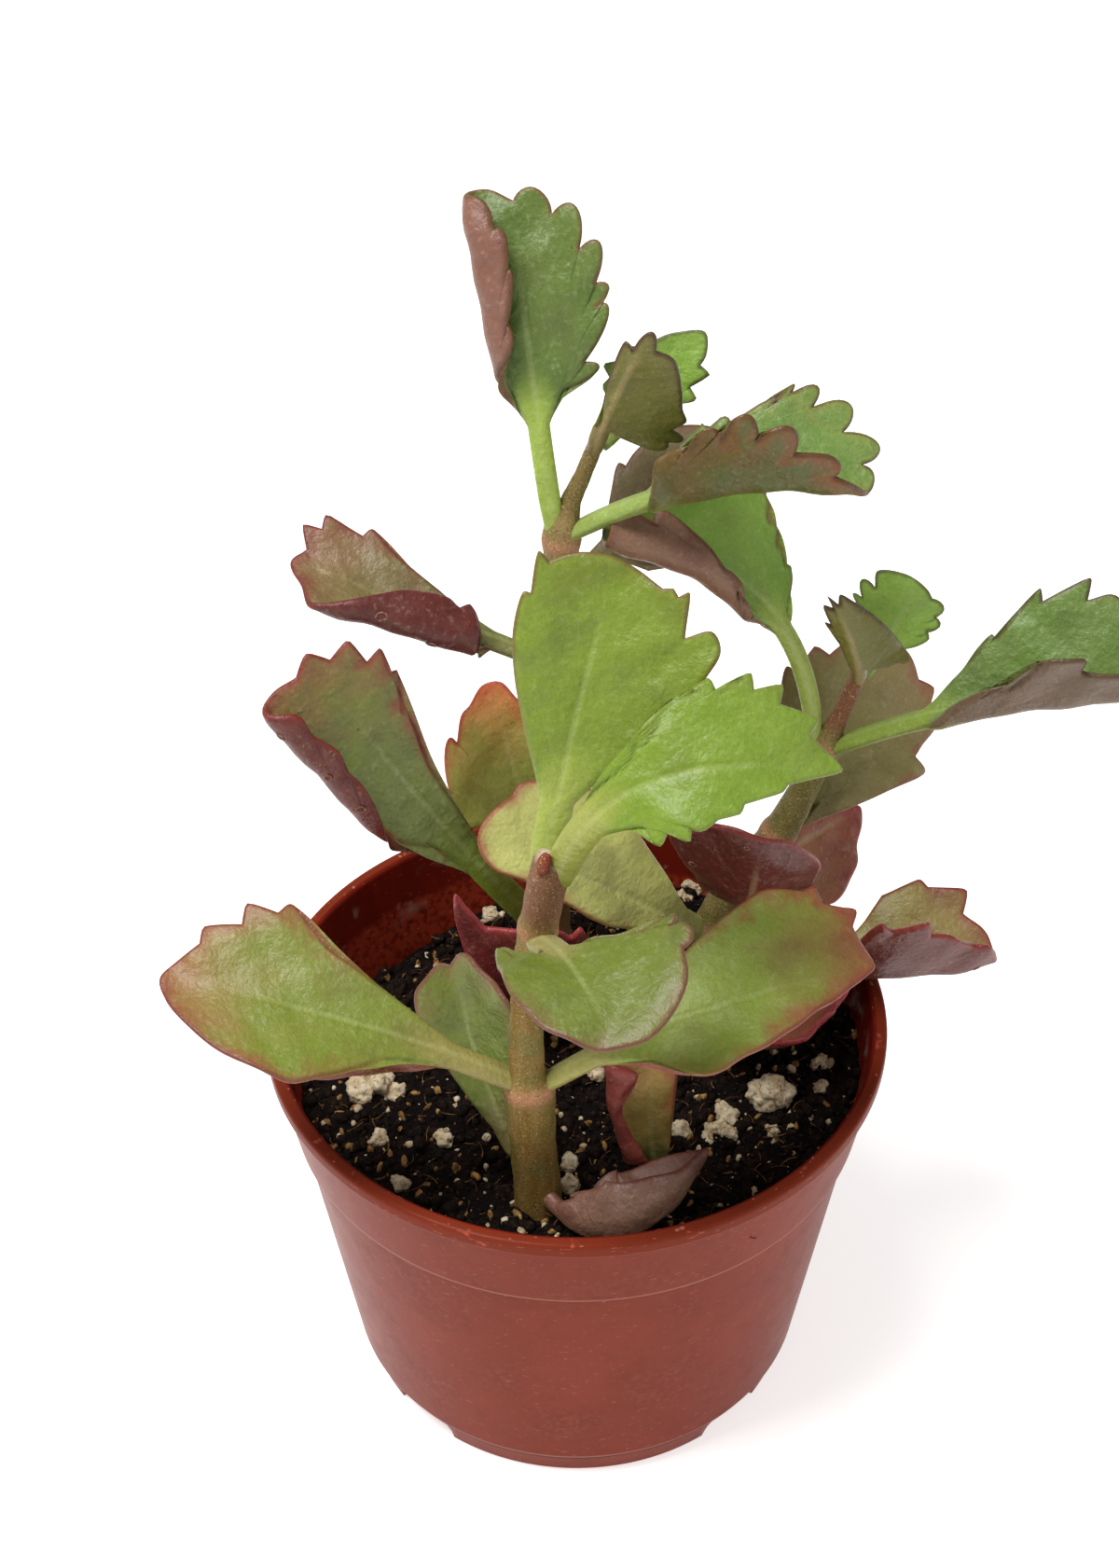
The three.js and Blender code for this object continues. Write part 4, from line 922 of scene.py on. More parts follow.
@dataclass
class NurseryPot:
    """The tapered pot with its collar, lip, raised floor and foot ring."""

    height: float = 74.3
    rim_radius: float = 52.5
    lip_width: float = 2.3
    lip_height: float = 3.2
    collar_z: float = 57.0
    collar_radius: float = 48.9
    collar_step: float = 0.9
    body_low_radius: float = 40.1
    foot_height: float = 5.0
    foot_top_radius: float = 39.5
    foot_radius: float = 38.1
    foot_width: float = 2.6
    wall: float = 1.3
    floor_thickness: float = 1.8
    floor_rise: float = 3.6
    pad_radius: float = 9.0
    pad_slope: float = 2.0
    foot_slope: float = 1.0
    foot_step: float = 0.8
    collar_slope: float = 0.4
    lip_undercut: float = 1.0
    lip_bevel: float = 0.5
    lip_overhang: float = 0.1
    floor_corner: float = 3.0
    gap_from: float = 30.0
    gap_degrees: float = 20.0
    holes: int = 6
    hole_radius: float = 3.0
    hole_circle: float = 24.0
    hole_sides: int = 32
    drill_length: float = 20.0
    weld: float = 0.01
    segments: int = 216

    def inner_radius(self, z: float) -> float:
        """The inner wall's radius at a height."""
        low = self.collar_radius - self.collar_step - self.wall
        if z < self.collar_z:
            share = (z - self.foot_height) / (self.collar_z - self.foot_height)
            return blend(self.body_low_radius - self.wall, low, share)
        share = (z - self.collar_z) / (self.height - self.collar_z)
        return blend(low, self.rim_radius - self.lip_width, share)

    def profile(self) -> tuple[np.ndarray, np.ndarray]:
        """The turned profile and which of its points are inside the pot."""
        top = self.floor_rise + self.floor_thickness
        foot_in = self.foot_radius - self.foot_width
        lip_low = self.height - self.lip_height
        lip_top = self.height - self.lip_overhang
        corner_z = top + self.floor_corner
        corner_radius = self.inner_radius(corner_z)
        outer = [
            (0, 0, 0), (self.pad_radius, 0, 0.5), (self.pad_radius + self.pad_slope, self.floor_rise, 0.5),
            (foot_in - self.foot_slope, self.floor_rise, 0.4), (foot_in, 0, 0.3), (self.foot_radius, 0, 0.4),
            (self.foot_top_radius, self.foot_height, 0.25),
            (self.body_low_radius, self.foot_height + self.foot_step, 0.3),
            (self.collar_radius - self.collar_step, self.collar_z - self.collar_slope, 0.15),
            (self.collar_radius, self.collar_z, 0.3),
            (self.rim_radius - self.lip_undercut, lip_low, 0.3),
            (self.rim_radius, lip_low + self.lip_bevel, 0.35), (self.rim_radius, lip_top, 0.9)]
        inner = [
            (self.rim_radius - self.lip_width - self.lip_overhang, lip_top, 0.7),
            (self.inner_radius(self.collar_z), self.collar_z, 1),
            (corner_radius, corner_z, 1), (corner_radius - self.floor_corner, top, 1), (0, top, 0)]
        points = rounded_profile(outer + inner)
        crest = int(np.argmax(points[:, 1] - 0.02 * points[:, 0]))
        return points, (np.arange(len(points)) > crest).astype(float)

    def lathe(self) -> Recipe:
        """A tree that turns a profile round the axis, leaves the drain gaps and drills the holes."""
        recipe = Recipe("pot_lathe", {
            "Segments": self.segments, "Foot radius": self.gap_from * MM, "Gap rise": self.floor_rise * MM,
            "Gap half angle": math.radians(self.gap_degrees / 2), "Hole radius": self.hole_radius * MM,
            "Hole circle": self.hole_circle * MM, "Holes": self.holes})
        profile = recipe.entry.outputs["Geometry"]
        rows = recipe.node("GeometryNodeAttributeDomainSize", None, {0: profile}).outputs["Point Count"]
        turns = recipe.given("Segments")
        grid = recipe.node("GeometryNodeMeshGrid", None,
                           {"Vertices X": (turns + 1).socket, "Vertices Y": rows}).outputs[0]
        index = recipe.number(recipe.node("GeometryNodeInputIndex"))
        rows_tone = Tone(recipe, rows)
        row = index.maths("FLOORED_MODULO", index, rows_tone)
        column = (index / rows_tone + 0.0001).maths("FLOOR", index / rows_tone + 0.0001)
        place = recipe.node("GeometryNodeInputPosition").outputs[0]
        found = recipe.node("GeometryNodeSampleIndex", {"data_type": "FLOAT_VECTOR"},
                            {"Geometry": profile, "Value": place, "Index": row}).outputs[0]
        inside = recipe.node("GeometryNodeSampleIndex", {"data_type": "FLOAT"}, {
            "Geometry": profile, "Value": recipe.named("inside"), "Index": row}).outputs[0]
        split = recipe.node("ShaderNodeSeparateXYZ", None, {0: found})
        radius, level = Tone(recipe, split.outputs[0]), Tone(recipe, split.outputs[2])
        angle = column / turns * (2 * math.pi)
        quarter = (angle + math.pi / 4).maths("FLOORED_MODULO", angle, math.pi / 2)
        in_gap = recipe.given("Gap half angle").over(abs(quarter - math.pi / 4))
        raised = level.maths("MAXIMUM", level, recipe.given("Gap rise") * in_gap
                             * radius.over(recipe.given("Foot radius")))
        cosine, sine = angle.maths("COSINE", angle), angle.maths("SINE", angle)
        spot = recipe.joined(radius * cosine, radius * sine, raised)
        turned = recipe.node("GeometryNodeSetPosition", None, {"Geometry": grid, "Position": spot})
        kept = recipe.node("GeometryNodeStoreNamedAttribute", {"data_type": "FLOAT", "domain": "POINT"},
                           {"Geometry": turned.outputs[0], "Name": "inside", "Value": inside})
        whole = recipe.node("GeometryNodeMergeByDistance", None,
                            {"Geometry": kept.outputs[0], "Distance": self.weld * MM}).outputs[0]
        circle = recipe.node("GeometryNodeMeshCircle", None, {
            "Vertices": recipe.given("Holes"), "Radius": recipe.given("Hole circle")}).outputs[0]
        drill = recipe.node("GeometryNodeMeshCylinder", None, {
            "Vertices": self.hole_sides, "Radius": recipe.given("Hole radius"),
            "Depth": self.drill_length * MM}).outputs[0]
        drills = recipe.node("GeometryNodeInstanceOnPoints", None, {"Points": circle, "Instance": drill})
        real = recipe.node("GeometryNodeRealizeInstances", None, {0: drills.outputs[0]}).outputs[0]
        turned_drills = recipe.node("GeometryNodeTransform", None, {
            "Geometry": real, "Rotation": (0.0, 0.0, math.pi / self.holes)}).outputs[0]
        cut = recipe.node("GeometryNodeMeshBoolean", {"operation": "DIFFERENCE"},
                          {"Mesh 1": whole, "Mesh 2": turned_drills}).outputs[0]
        recipe.close(cut, PotFinish().material())
        return recipe

    def build(self) -> None:
        points, inside = self.profile()
        spots = np.stack([points[:, 0], np.zeros(len(points)), points[:, 1]], 1)
        pot = mesh_piece("pot_moulded", spots, [], {"inside": inside},
                         [(i, i + 1) for i in range(len(points) - 1)])
        self.lathe().run(pot)
        adopt(pot, "pot", "pot")


@dataclass
class SoilBed:
    """The peat filling and the loose bits that lie on it.

    hollow is the place, depth and spread of a dip. fine_wave and broad_wave are the turns in each
    millimetre of the low lumps. big_lumps gives the place and the radius of each large perlite lump.
    """

    pot: NurseryPot = field(default_factory=NurseryPot)
    level: float = 62.5
    slope: float = 0.06
    hollow: tuple[float, float, float, float] = (-33, 33, 6, 18)
    bump: float = 0.7
    fine_wave: Vec3 = (0.61, 0.53, 1.3)
    broad_wave: Vec2 = (0.37, 0.71)
    gap: float = 0.25
    floor_gap: float = 0.4
    corner: float = 3.0
    side_bend_z: float = 46.0
    ring_crowding: float = 0.8
    rings: int = 60
    segments: int = 240
    lump_rise: float = 0.25
    big_lumps: tuple[tuple[float, float, float], ...] = (
        (-36.5, -4.5, 3.0), (-33.5, -3.6, 2.8), (-31.2, -4.6, 2.0), (32.6, -11.5, 3.3), (30.6, -12.2, 2.2),
        (34.6, -11.0, 2.2), (23.4, -18.0, 1.9), (25.2, -16.0, 1.8), (21.8, -19.6, 1.5), (25.0, -19.8, 1.6),
        (17.2, -18.0, 1.6), (24.6, -13.6, 1.2), (3.6, -3.5, 1.9), (41.4, -3.7, 1.5), (-1.4, -28.9, 1.5),
        (-1.2, -24.6, 1.3), (-15.5, 41.0, 1.4), (22.0, 42.8, 1.7), (-29.2, -27.0, 1.6), (-22.2, -17.5, 1.5),
        (-33.4, -17.0, 1.7), (32.8, -18.4, 1.2), (41.0, -9.6, 1.1), (-10.8, -41.0, 1.7), (20.0, 41.0, 1.5),
        (-18.0, 36.5, 1.2), (27.6, 35.0, 1.6), (10.2, 38.0, 1.4))

    def height(self, x: np.ndarray, y: np.ndarray) -> np.ndarray:
        """The soil's height at a place, with its low lumps."""
        hx, hy, depth, spread = self.hollow
        hollow = depth * np.exp(-((x - hx) ** 2 + (y - hy) ** 2) / (2 * spread ** 2))
        across, away, shift = self.fine_wave
        fine = np.sin(x * across + shift) * np.cos(y * away)
        with_sum, with_difference = self.broad_wave
        broad = np.sin((x + y) * with_sum) * np.cos((x - y) * with_difference)
        return self.level + self.slope * x - hollow + self.bump * (fine + broad)

    def edge_radius(self, angle: np.ndarray) -> np.ndarray:
        """How far out the soil reaches in a direction, at its own height there."""
        reach = np.vectorize(self.pot.inner_radius)
        radius = reach(np.full_like(angle, self.level))
        for _ in range(4):
            radius = reach(self.height(radius * np.cos(angle), radius * np.sin(angle))) - self.gap
        return radius

    def bed(self) -> bpy.types.Object:
        """The filled solid: a top of fine rings, a side along the wall and a flat underside."""
        bottom = self.pot.floor_rise + self.pot.floor_thickness + self.floor_gap
        angle = np.arange(self.segments) * 2 * np.pi / self.segments
        edge = self.edge_radius(angle)
        rows = []
        for share in np.linspace(0, 1, self.rings + 1)[1:] ** self.ring_crowding:
            radius = share * edge
            x, y = radius * np.cos(angle), radius * np.sin(angle)
            rows.append(np.stack([x, y, self.height(x, y)], 1))
        low = self.pot.inner_radius(bottom + self.corner) - self.gap
        bend = self.pot.inner_radius(self.side_bend_z) - self.gap
        side = ((self.side_bend_z, bend), (bottom + self.corner, low), (bottom, low - self.corner))
        for z, radius in side:
            x, y = radius * np.cos(angle), radius * np.sin(angle)
            rows.append(np.stack([x, y, np.full_like(angle, z)], 1))
        zero = np.zeros(1)
        points = np.vstack([[[0, 0, float(self.height(zero, zero)[0])]], *rows, [[0, 0, bottom]]])
        n, last = self.segments, 1 + (len(rows) - 1) * self.segments
        faces: list[tuple[int, ...]] = []
        for j in range(n):
            k = (j + 1) % n
            faces.append((0, 1 + j, 1 + k))
            faces += [(1 + i * n + j, 1 + (i + 1) * n + j, 1 + (i + 1) * n + k, 1 + i * n + k)
                      for i in range(len(rows) - 1)]
            faces.append((len(points) - 1, last + k, last + j))
        top = np.zeros(len(points))
        top[:1 + (self.rings - 1) * n] = 1
        return mesh_piece("soil_bed", points, faces, {"top": top})

    def crumbled(self) -> Recipe:
        """A tree that roughens the top into lumps and crumbs."""
        recipe = Recipe("soil_relief", {"Lump": 5.5 * MM, "Crumb": 1.7 * MM, "Depth": 1.5 * MM, "Seed": 4})
        seed = recipe.given("Seed")
        lumps = recipe.noise(recipe.given("Lump"), seed, 3.0) - 0.5
        crumbs = recipe.noise(recipe.given("Crumb"), seed + 9, 2.0) - 0.5
        height = (lumps * 1.5 + crumbs * 1.1) * recipe.given("Depth") * recipe.named("top")
        recipe.close(recipe.pushed(recipe.entry.outputs["Geometry"], height), SoilFinish().material())
        return recipe

    def scattered(self, name: str, material: bpy.types.Material, spacing: float, low: float, high: float,
                  squash: Vec3, seed: int, detail: int = 1) -> Recipe:
        """A tree that strews lumps of a kind over the top.

        Args:
            name: The tree's name.
            material: The lumps' material.
            spacing: The least distance between two lumps in millimetres.
            low: The smallest lump's radius in millimetres.
            high: The largest lump's radius in millimetres.
            squash: The lump's stretch along each axis.
            seed: The fixed seed.
            detail: How finely a lump is divided.

        Returns:
            The tree, to be run on a copy of the soil bed.
        """
        recipe = Recipe(name, {"Spacing": spacing * MM, "Smallest": low * MM, "Largest": high * MM,
                               "Seed": seed, "Detail": detail})
        mark = recipe.given("Seed")
        spread = recipe.strewn(recipe.named("top"))
        shaped = recipe.node("GeometryNodeTransform", None, {
            "Geometry": recipe.ball(recipe.given("Detail")), "Scale": squash}).outputs[0]
        size = recipe.chance(0.0, 1.0, mark, 1) ** 2.2
        size = recipe.given("Smallest") + size * (recipe.given("Largest") - recipe.given("Smallest"))
        any_way = recipe.chance3((0, 0, 0), (WHOLE_TURN, WHOLE_TURN, WHOLE_TURN), mark, 2)
        placed = recipe.node("GeometryNodeInstanceOnPoints", None, {
            "Points": spread.outputs["Points"], "Instance": shaped,
            "Scale": recipe.joined(size, size, size), "Rotation": any_way}).outputs[0]
        real = recipe.node("GeometryNodeRealizeInstances", None, {0: placed}).outputs[0]
        rough = (recipe.noise(0.9 * MM, 3.0, 1.0) - 0.5) * recipe.given("Largest") * 0.7
        recipe.close(recipe.pushed(real, rough), material)
        return recipe

    def perlite_at(self, material: bpy.types.Material) -> Recipe:
        """A tree that sets the large perlite lumps on their own places."""
        recipe = Recipe("perlite_lumps", {"Seed": 5, "Roughness": 0.55})
        size = recipe.named("size")
        flat = recipe.chance(0.6, 1.0, recipe.given("Seed"), 7)
        placed = recipe.node("GeometryNodeInstanceOnPoints", None, {
            "Points": recipe.entry.outputs["Geometry"], "Instance": recipe.ball(4),
            "Scale": recipe.joined(size * 1.1, size * flat, size * 0.7),
            "Rotation": recipe.chance3((-0.5, -0.5, 0), (0.5, 0.5, WHOLE_TURN), recipe.given("Seed"), 2)})
        real = recipe.node("GeometryNodeRealizeInstances", None, {0: placed.outputs[0]}).outputs[0]
        seed = recipe.given("Seed")
        rough = (recipe.noise(1.9 * MM, seed, 1.0) - 0.5) * (5.4 * MM)
        pits = abs(recipe.noise(0.9 * MM, seed + 2, 1.0) - 0.5) * (3.2 * MM)
        grit = (recipe.noise(0.35 * MM, seed + 4, 1.0) - 0.5) * (0.5 * MM)
        height = (rough + pits + grit) * recipe.given("Roughness")
        recipe.close(recipe.pushed(real, height), material)
        return recipe

    def fibres(self, material: bpy.types.Material) -> Recipe:
        """A tree that lays short bent fibres over the top."""
        recipe = Recipe("soil_fibres", {"Spacing": 3.0 * MM, "Thickness": 0.09 * MM, "Length": 6.5 * MM,
                                        "Seed": 31})
        mark = recipe.given("Seed")
        spread = recipe.strewn(recipe.named("top"))
        arc = recipe.node("GeometryNodeCurveArc", None,
                          {"Resolution": 6, "Radius": recipe.given("Length") * 0.5, "Sweep Angle": 0.9})
        thread = recipe.node("GeometryNodeCurveToMesh", None, {
            "Curve": arc.outputs[0], "Profile Curve": recipe.hoop(3, recipe.given("Thickness")),
            "Fill Caps": True}).outputs[0]
        size = recipe.chance(0.35, 1.3, mark, 1)
        placed = recipe.node("GeometryNodeInstanceOnPoints", None, {
            "Points": spread.outputs["Points"], "Instance": thread, "Scale": recipe.joined(size, size, 1.0),
            "Rotation": recipe.chance3((-0.35, -0.35, 0), (0.35, 0.35, WHOLE_TURN), mark, 2)}).outputs[0]
        lifted = recipe.node("GeometryNodeTransform", None,
                             {"Geometry": placed, "Translation": (0.0, 0.0, 0.5 * MM)}).outputs[0]
        recipe.close(lifted, material)
        return recipe

    def bits(self, name: str, recipe: Recipe, bed: bpy.types.Object) -> None:
        piece = bpy.data.objects.new(name, bed.data.copy())
        bpy.context.scene.collection.objects.link(piece)
        adopt(recipe.run(piece), "soil")

    def build(self) -> None:
        """Makes the soil and everything that lies on it."""
        bed = self.bed()
        self.crumbled().run(bed)
        perlite = GrainFinish("perlite", "dccfb0", "bfa882", 1.3, 0.85, "6b4a2a", 0.75).material()
        bark = GrainFinish("bark_bits", "b08850", "5a3a20", 1.0, 0.85).material()
        crumb = GrainFinish("peat_crumbs", "1c120d", "0c0806", 1.2, 0.9).material()
        straw = GrainFinish("peat_fibres", "8a6238", "3a2416", 2.0, 0.8).material()
        self.bits("soil_crumbs", self.scattered("crumbs", crumb, 1.35, 0.35, 1.7, (1, 0.85, 0.7), 11), bed)
        self.bits("soil_perlite_grains",
                  self.scattered("grains", perlite, 3.3, 0.16, 1.15, (1, 0.8, 0.6), 12, 2), bed)
        self.bits("soil_bark", self.scattered("bark", bark, 3.1, 0.25, 1.6, (1, 0.55, 0.35), 13, 2), bed)
        self.bits("soil_fibres", self.fibres(straw), bed)
        spots = np.array([(x, y, float(self.height(np.array(x), np.array(y))) + r * self.lump_rise)
                          for x, y, r in self.big_lumps])
        lumps = mesh_piece("soil_perlite_lumps", spots, [], {
            "size": np.array([r for _, _, r in self.big_lumps]) * MM})
        adopt(self.perlite_at(perlite).run(lumps), "soil")
        adopt(bed, "soil", "soil")


@dataclass(frozen=True)
class StemPlan:
    """One stem: its path with radii, the heights of its nodes and where its young shoot begins."""

    name: str
    path: tuple[tuple[float, float, float, float], ...]
    nodes: tuple[float, ...]
    shoot_from: float
    finish: StemFinish
    scar: bool = False


STEMS = (
    StemPlan("stem_front", (
        (-6.4, -32, 48, 4), (-6.4, -32, 62, 3.9), (-7.2, -32, 76, 3.7), (-7.6, -32, 88, 4.1),
        (-7.9, -32, 93, 2.8), (-7.8, -32, 106, 2.6), (-6.6, -32, 118, 2.9), (-5.6, -32, 125, 2.9),
        (-4.3, -32, 133, 3), (-3.9, -32, 136.5, 2.6)), (89.5, 122.5), 123,
        StemFinish("bark_front", "7c6028", "8b713c", "825a40"), scar=True),
    StemPlan("stem_tall", (
        (-4.6, 17.5, 48, 3.3), (-4.6, 17.5, 64, 3.4), (-4.2, 17.5, 78, 3.3), (-3.8, 17.5, 96, 3),
        (-3, 17.5, 120, 2.8), (-2.6, 17.5, 136, 2.9), (-2.1, 17.5, 150, 2.7), (-1.9, 17.5, 161, 2.9),
        (-0.6, 17.4, 166, 1.6), (1.6, 17.2, 172, 1.3), (3.6, 17, 178, 1.2)), (76, 136, 159), 163,
        StemFinish("bark_tall", "8a7448", "96804f", "7c6a3c")),
    StemPlan("stem_right", (
        (22, 21, 48, 3.2), (22.4, 21, 66, 3.2), (24.6, 21, 77, 3.2), (29, 21, 87, 3),
        (34.6, 21, 96, 3), (38.6, 21, 106, 2.4), (41.5, 21, 115, 2.3), (43.6, 21, 121, 1.5),
        (46.6, 21, 131, 1.3)), (75, 87, 96, 115), 117,
        StemFinish("bark_right", "6e6434", "7c7040", "7e5238")),
)


@dataclass
class Stem:
    """A stem swept along its path, with ridges, swollen nodes and a felty skin.

    end_taper and end_rise round off its last samples: a share of their radius and a lift.
    """

    plan: StemPlan
    samples: int = 110
    sides: int = 40
    node_reach: float = 1.3
    node_swelling: float = 0.3
    shoot_fade: float = 4.0
    scar_share: float = 0.7
    end_taper: Vec3 = (0.97, 0.85, 0.5)
    end_rise: Vec3 = (0.0, 0.375, 0.15)

    def sweep(self) -> Recipe:
        """A tree that sweeps a ring along the path and works its skin."""
        recipe = Recipe(f"sweep_{self.plan.name}", {
            "Sides": self.sides, "Ridge depth": 0.22 * MM, "Felt depth": 0.1 * MM, "Seed": 3})
        path = recipe.entry.outputs["Geometry"]
        curve = recipe.node("GeometryNodeMeshToCurve", None, {0: path}).outputs[0]
        upright = recipe.node("GeometryNodeSetCurveNormal", {"mode": "MINIMUM_TWIST"}, {0: curve})
        tube = recipe.node("GeometryNodeCurveToMesh", None, {
            "Curve": upright.outputs[0], "Profile Curve": recipe.hoop(recipe.given("Sides"), 1.0),
            "Scale": recipe.named("thick"), "Fill Caps": True}).outputs[0]
        seed = recipe.given("Seed")
        ridges = recipe.noise(2.6 * MM, seed, 1.0) - 0.5
        felt = recipe.noise(0.6 * MM, seed + 5, 1.0) - 0.5
        height = ridges * recipe.given("Ridge depth") * 2 + felt * recipe.given("Felt depth")
        recipe.close(recipe.pushed(tube, height), self.plan.finish.material())
        return recipe

    def build(self) -> None:
        path = np.array(self.plan.path)
        middles = smooth_path([tuple(row[:3]) for row in path], self.samples)
        heights = middles[:, 2]
        thick = np.interp(heights, path[:, 2], path[:, 3])
        ring = np.zeros(len(heights))
        for node in self.plan.nodes:
            ring = np.maximum(ring, np.exp(-((heights - node) / self.node_reach) ** 2))
        thick = thick + self.node_swelling * ring
        end = len(self.end_taper)
        thick[-end:] *= self.end_taper
        middles[-end:, 2] += self.end_rise
        scar = smooth(self.samples - end, self.samples - 1, np.arange(self.samples))
        young = smooth(self.plan.shoot_from, self.plan.shoot_from + self.shoot_fade, heights)
        numbers = {"thick": thick * MM, "ring": ring, "youth": young,
                   "scar": scar * self.scar_share * float(self.plan.scar)}
        edges = [(i, i + 1) for i in range(len(middles) - 1)]
        stem = mesh_piece(self.plan.name + "_bark", middles, [], numbers, edges)
        self.sweep().run(stem)
        adopt(stem, "stem", self.plan.name)


@dataclass
class Bud:
    """The small red bud at the front stem's pinched-out top, of a few scales round an egg."""

    place: Vec3 = (-5.2, -34.3, 137.2)
    radius: float = 1.05
    stretch: float = 2.0
    rows: int = 22
    sides: int = 28
    scales: int = 3
    scale_depth: float = 0.12
    twist: float = 2.4
    lean: float = 0.3

    def build(self) -> None:
        rows, sides = self.rows, self.sides
        points = []
        for i in range(rows + 1):
            turn = math.pi * i / rows
            for j in range(sides):
                angle = 2 * math.pi * j / sides
                scale = 1 + self.scale_depth * math.cos(self.scales * angle + self.twist * turn)
                ring = self.radius * math.sin(turn) * scale
                points.append((self.place[0] + ring * math.cos(angle) + self.lean * (1 - math.cos(turn)),
                               self.place[1] + ring * math.sin(angle),
                               self.place[2] + self.radius * self.stretch * -math.cos(turn)))
        faces = [(i * sides + j, i * sides + (j + 1) % sides, (i + 1) * sides + (j + 1) % sides,
                  (i + 1) * sides + j) for i in range(rows) for j in range(sides)]
        bud = mesh_piece("front_bud", np.array(points), faces)
        bud.data.materials.append(StemFinish("bud_skin", "8a3c2c", "6c2e22", "8a3c2c").material())
        bud.data.shade_smooth()
        adopt(bud, "stem")


@dataclass(frozen=True)
class LeafPlan:
    """One leaf: its midrib's control points, the way it faces, folds, curls and rolls, and its edge.

    faces gives where the upper side looks at the foot and at the tip: degrees round from +X, then
    degrees up. fold and curl are in degrees for the left and the right half, seen from the stalk.
    stalk is its length and half width. edge goes round the scallops and the notches between them,
    from the left by way of the tip to the right: how far along the midrib, and how far to the left.
    roll is for a left half that is rolled up: how far from the midrib it starts at the foot and at
    the tip, and its turn in degrees. corky is how many healed rings lie on each square centimetre of
    its underside. pointed leaves have teeth rather than round scallops.
    """

    name: str
    foot: Vec3
    bend: Vec3
    tip: Vec3
    faces: tuple[Vec2, Vec2]
    fold: Vec2
    curl: Vec2
    stalk: Vec2
    edge: tuple[Vec2, ...]
    look: LeafLook
    roll: Vec3 = (0.0, 0.0, 0.0)
    young: bool = False
    corky: float = 0.0
    pointed: bool = False


def facing(around: float, up: float) -> np.ndarray:
    """The direction so many degrees round from +X and so many degrees up."""
    a, e = math.radians(around), math.radians(up)
    return np.array([math.cos(a) * math.cos(e), math.sin(a) * math.cos(e), math.sin(e)])


def unit(vectors: np.ndarray) -> np.ndarray:
    """Rows scaled to a length of one."""
    return vectors / np.linalg.norm(vectors, axis=-1, keepdims=True)


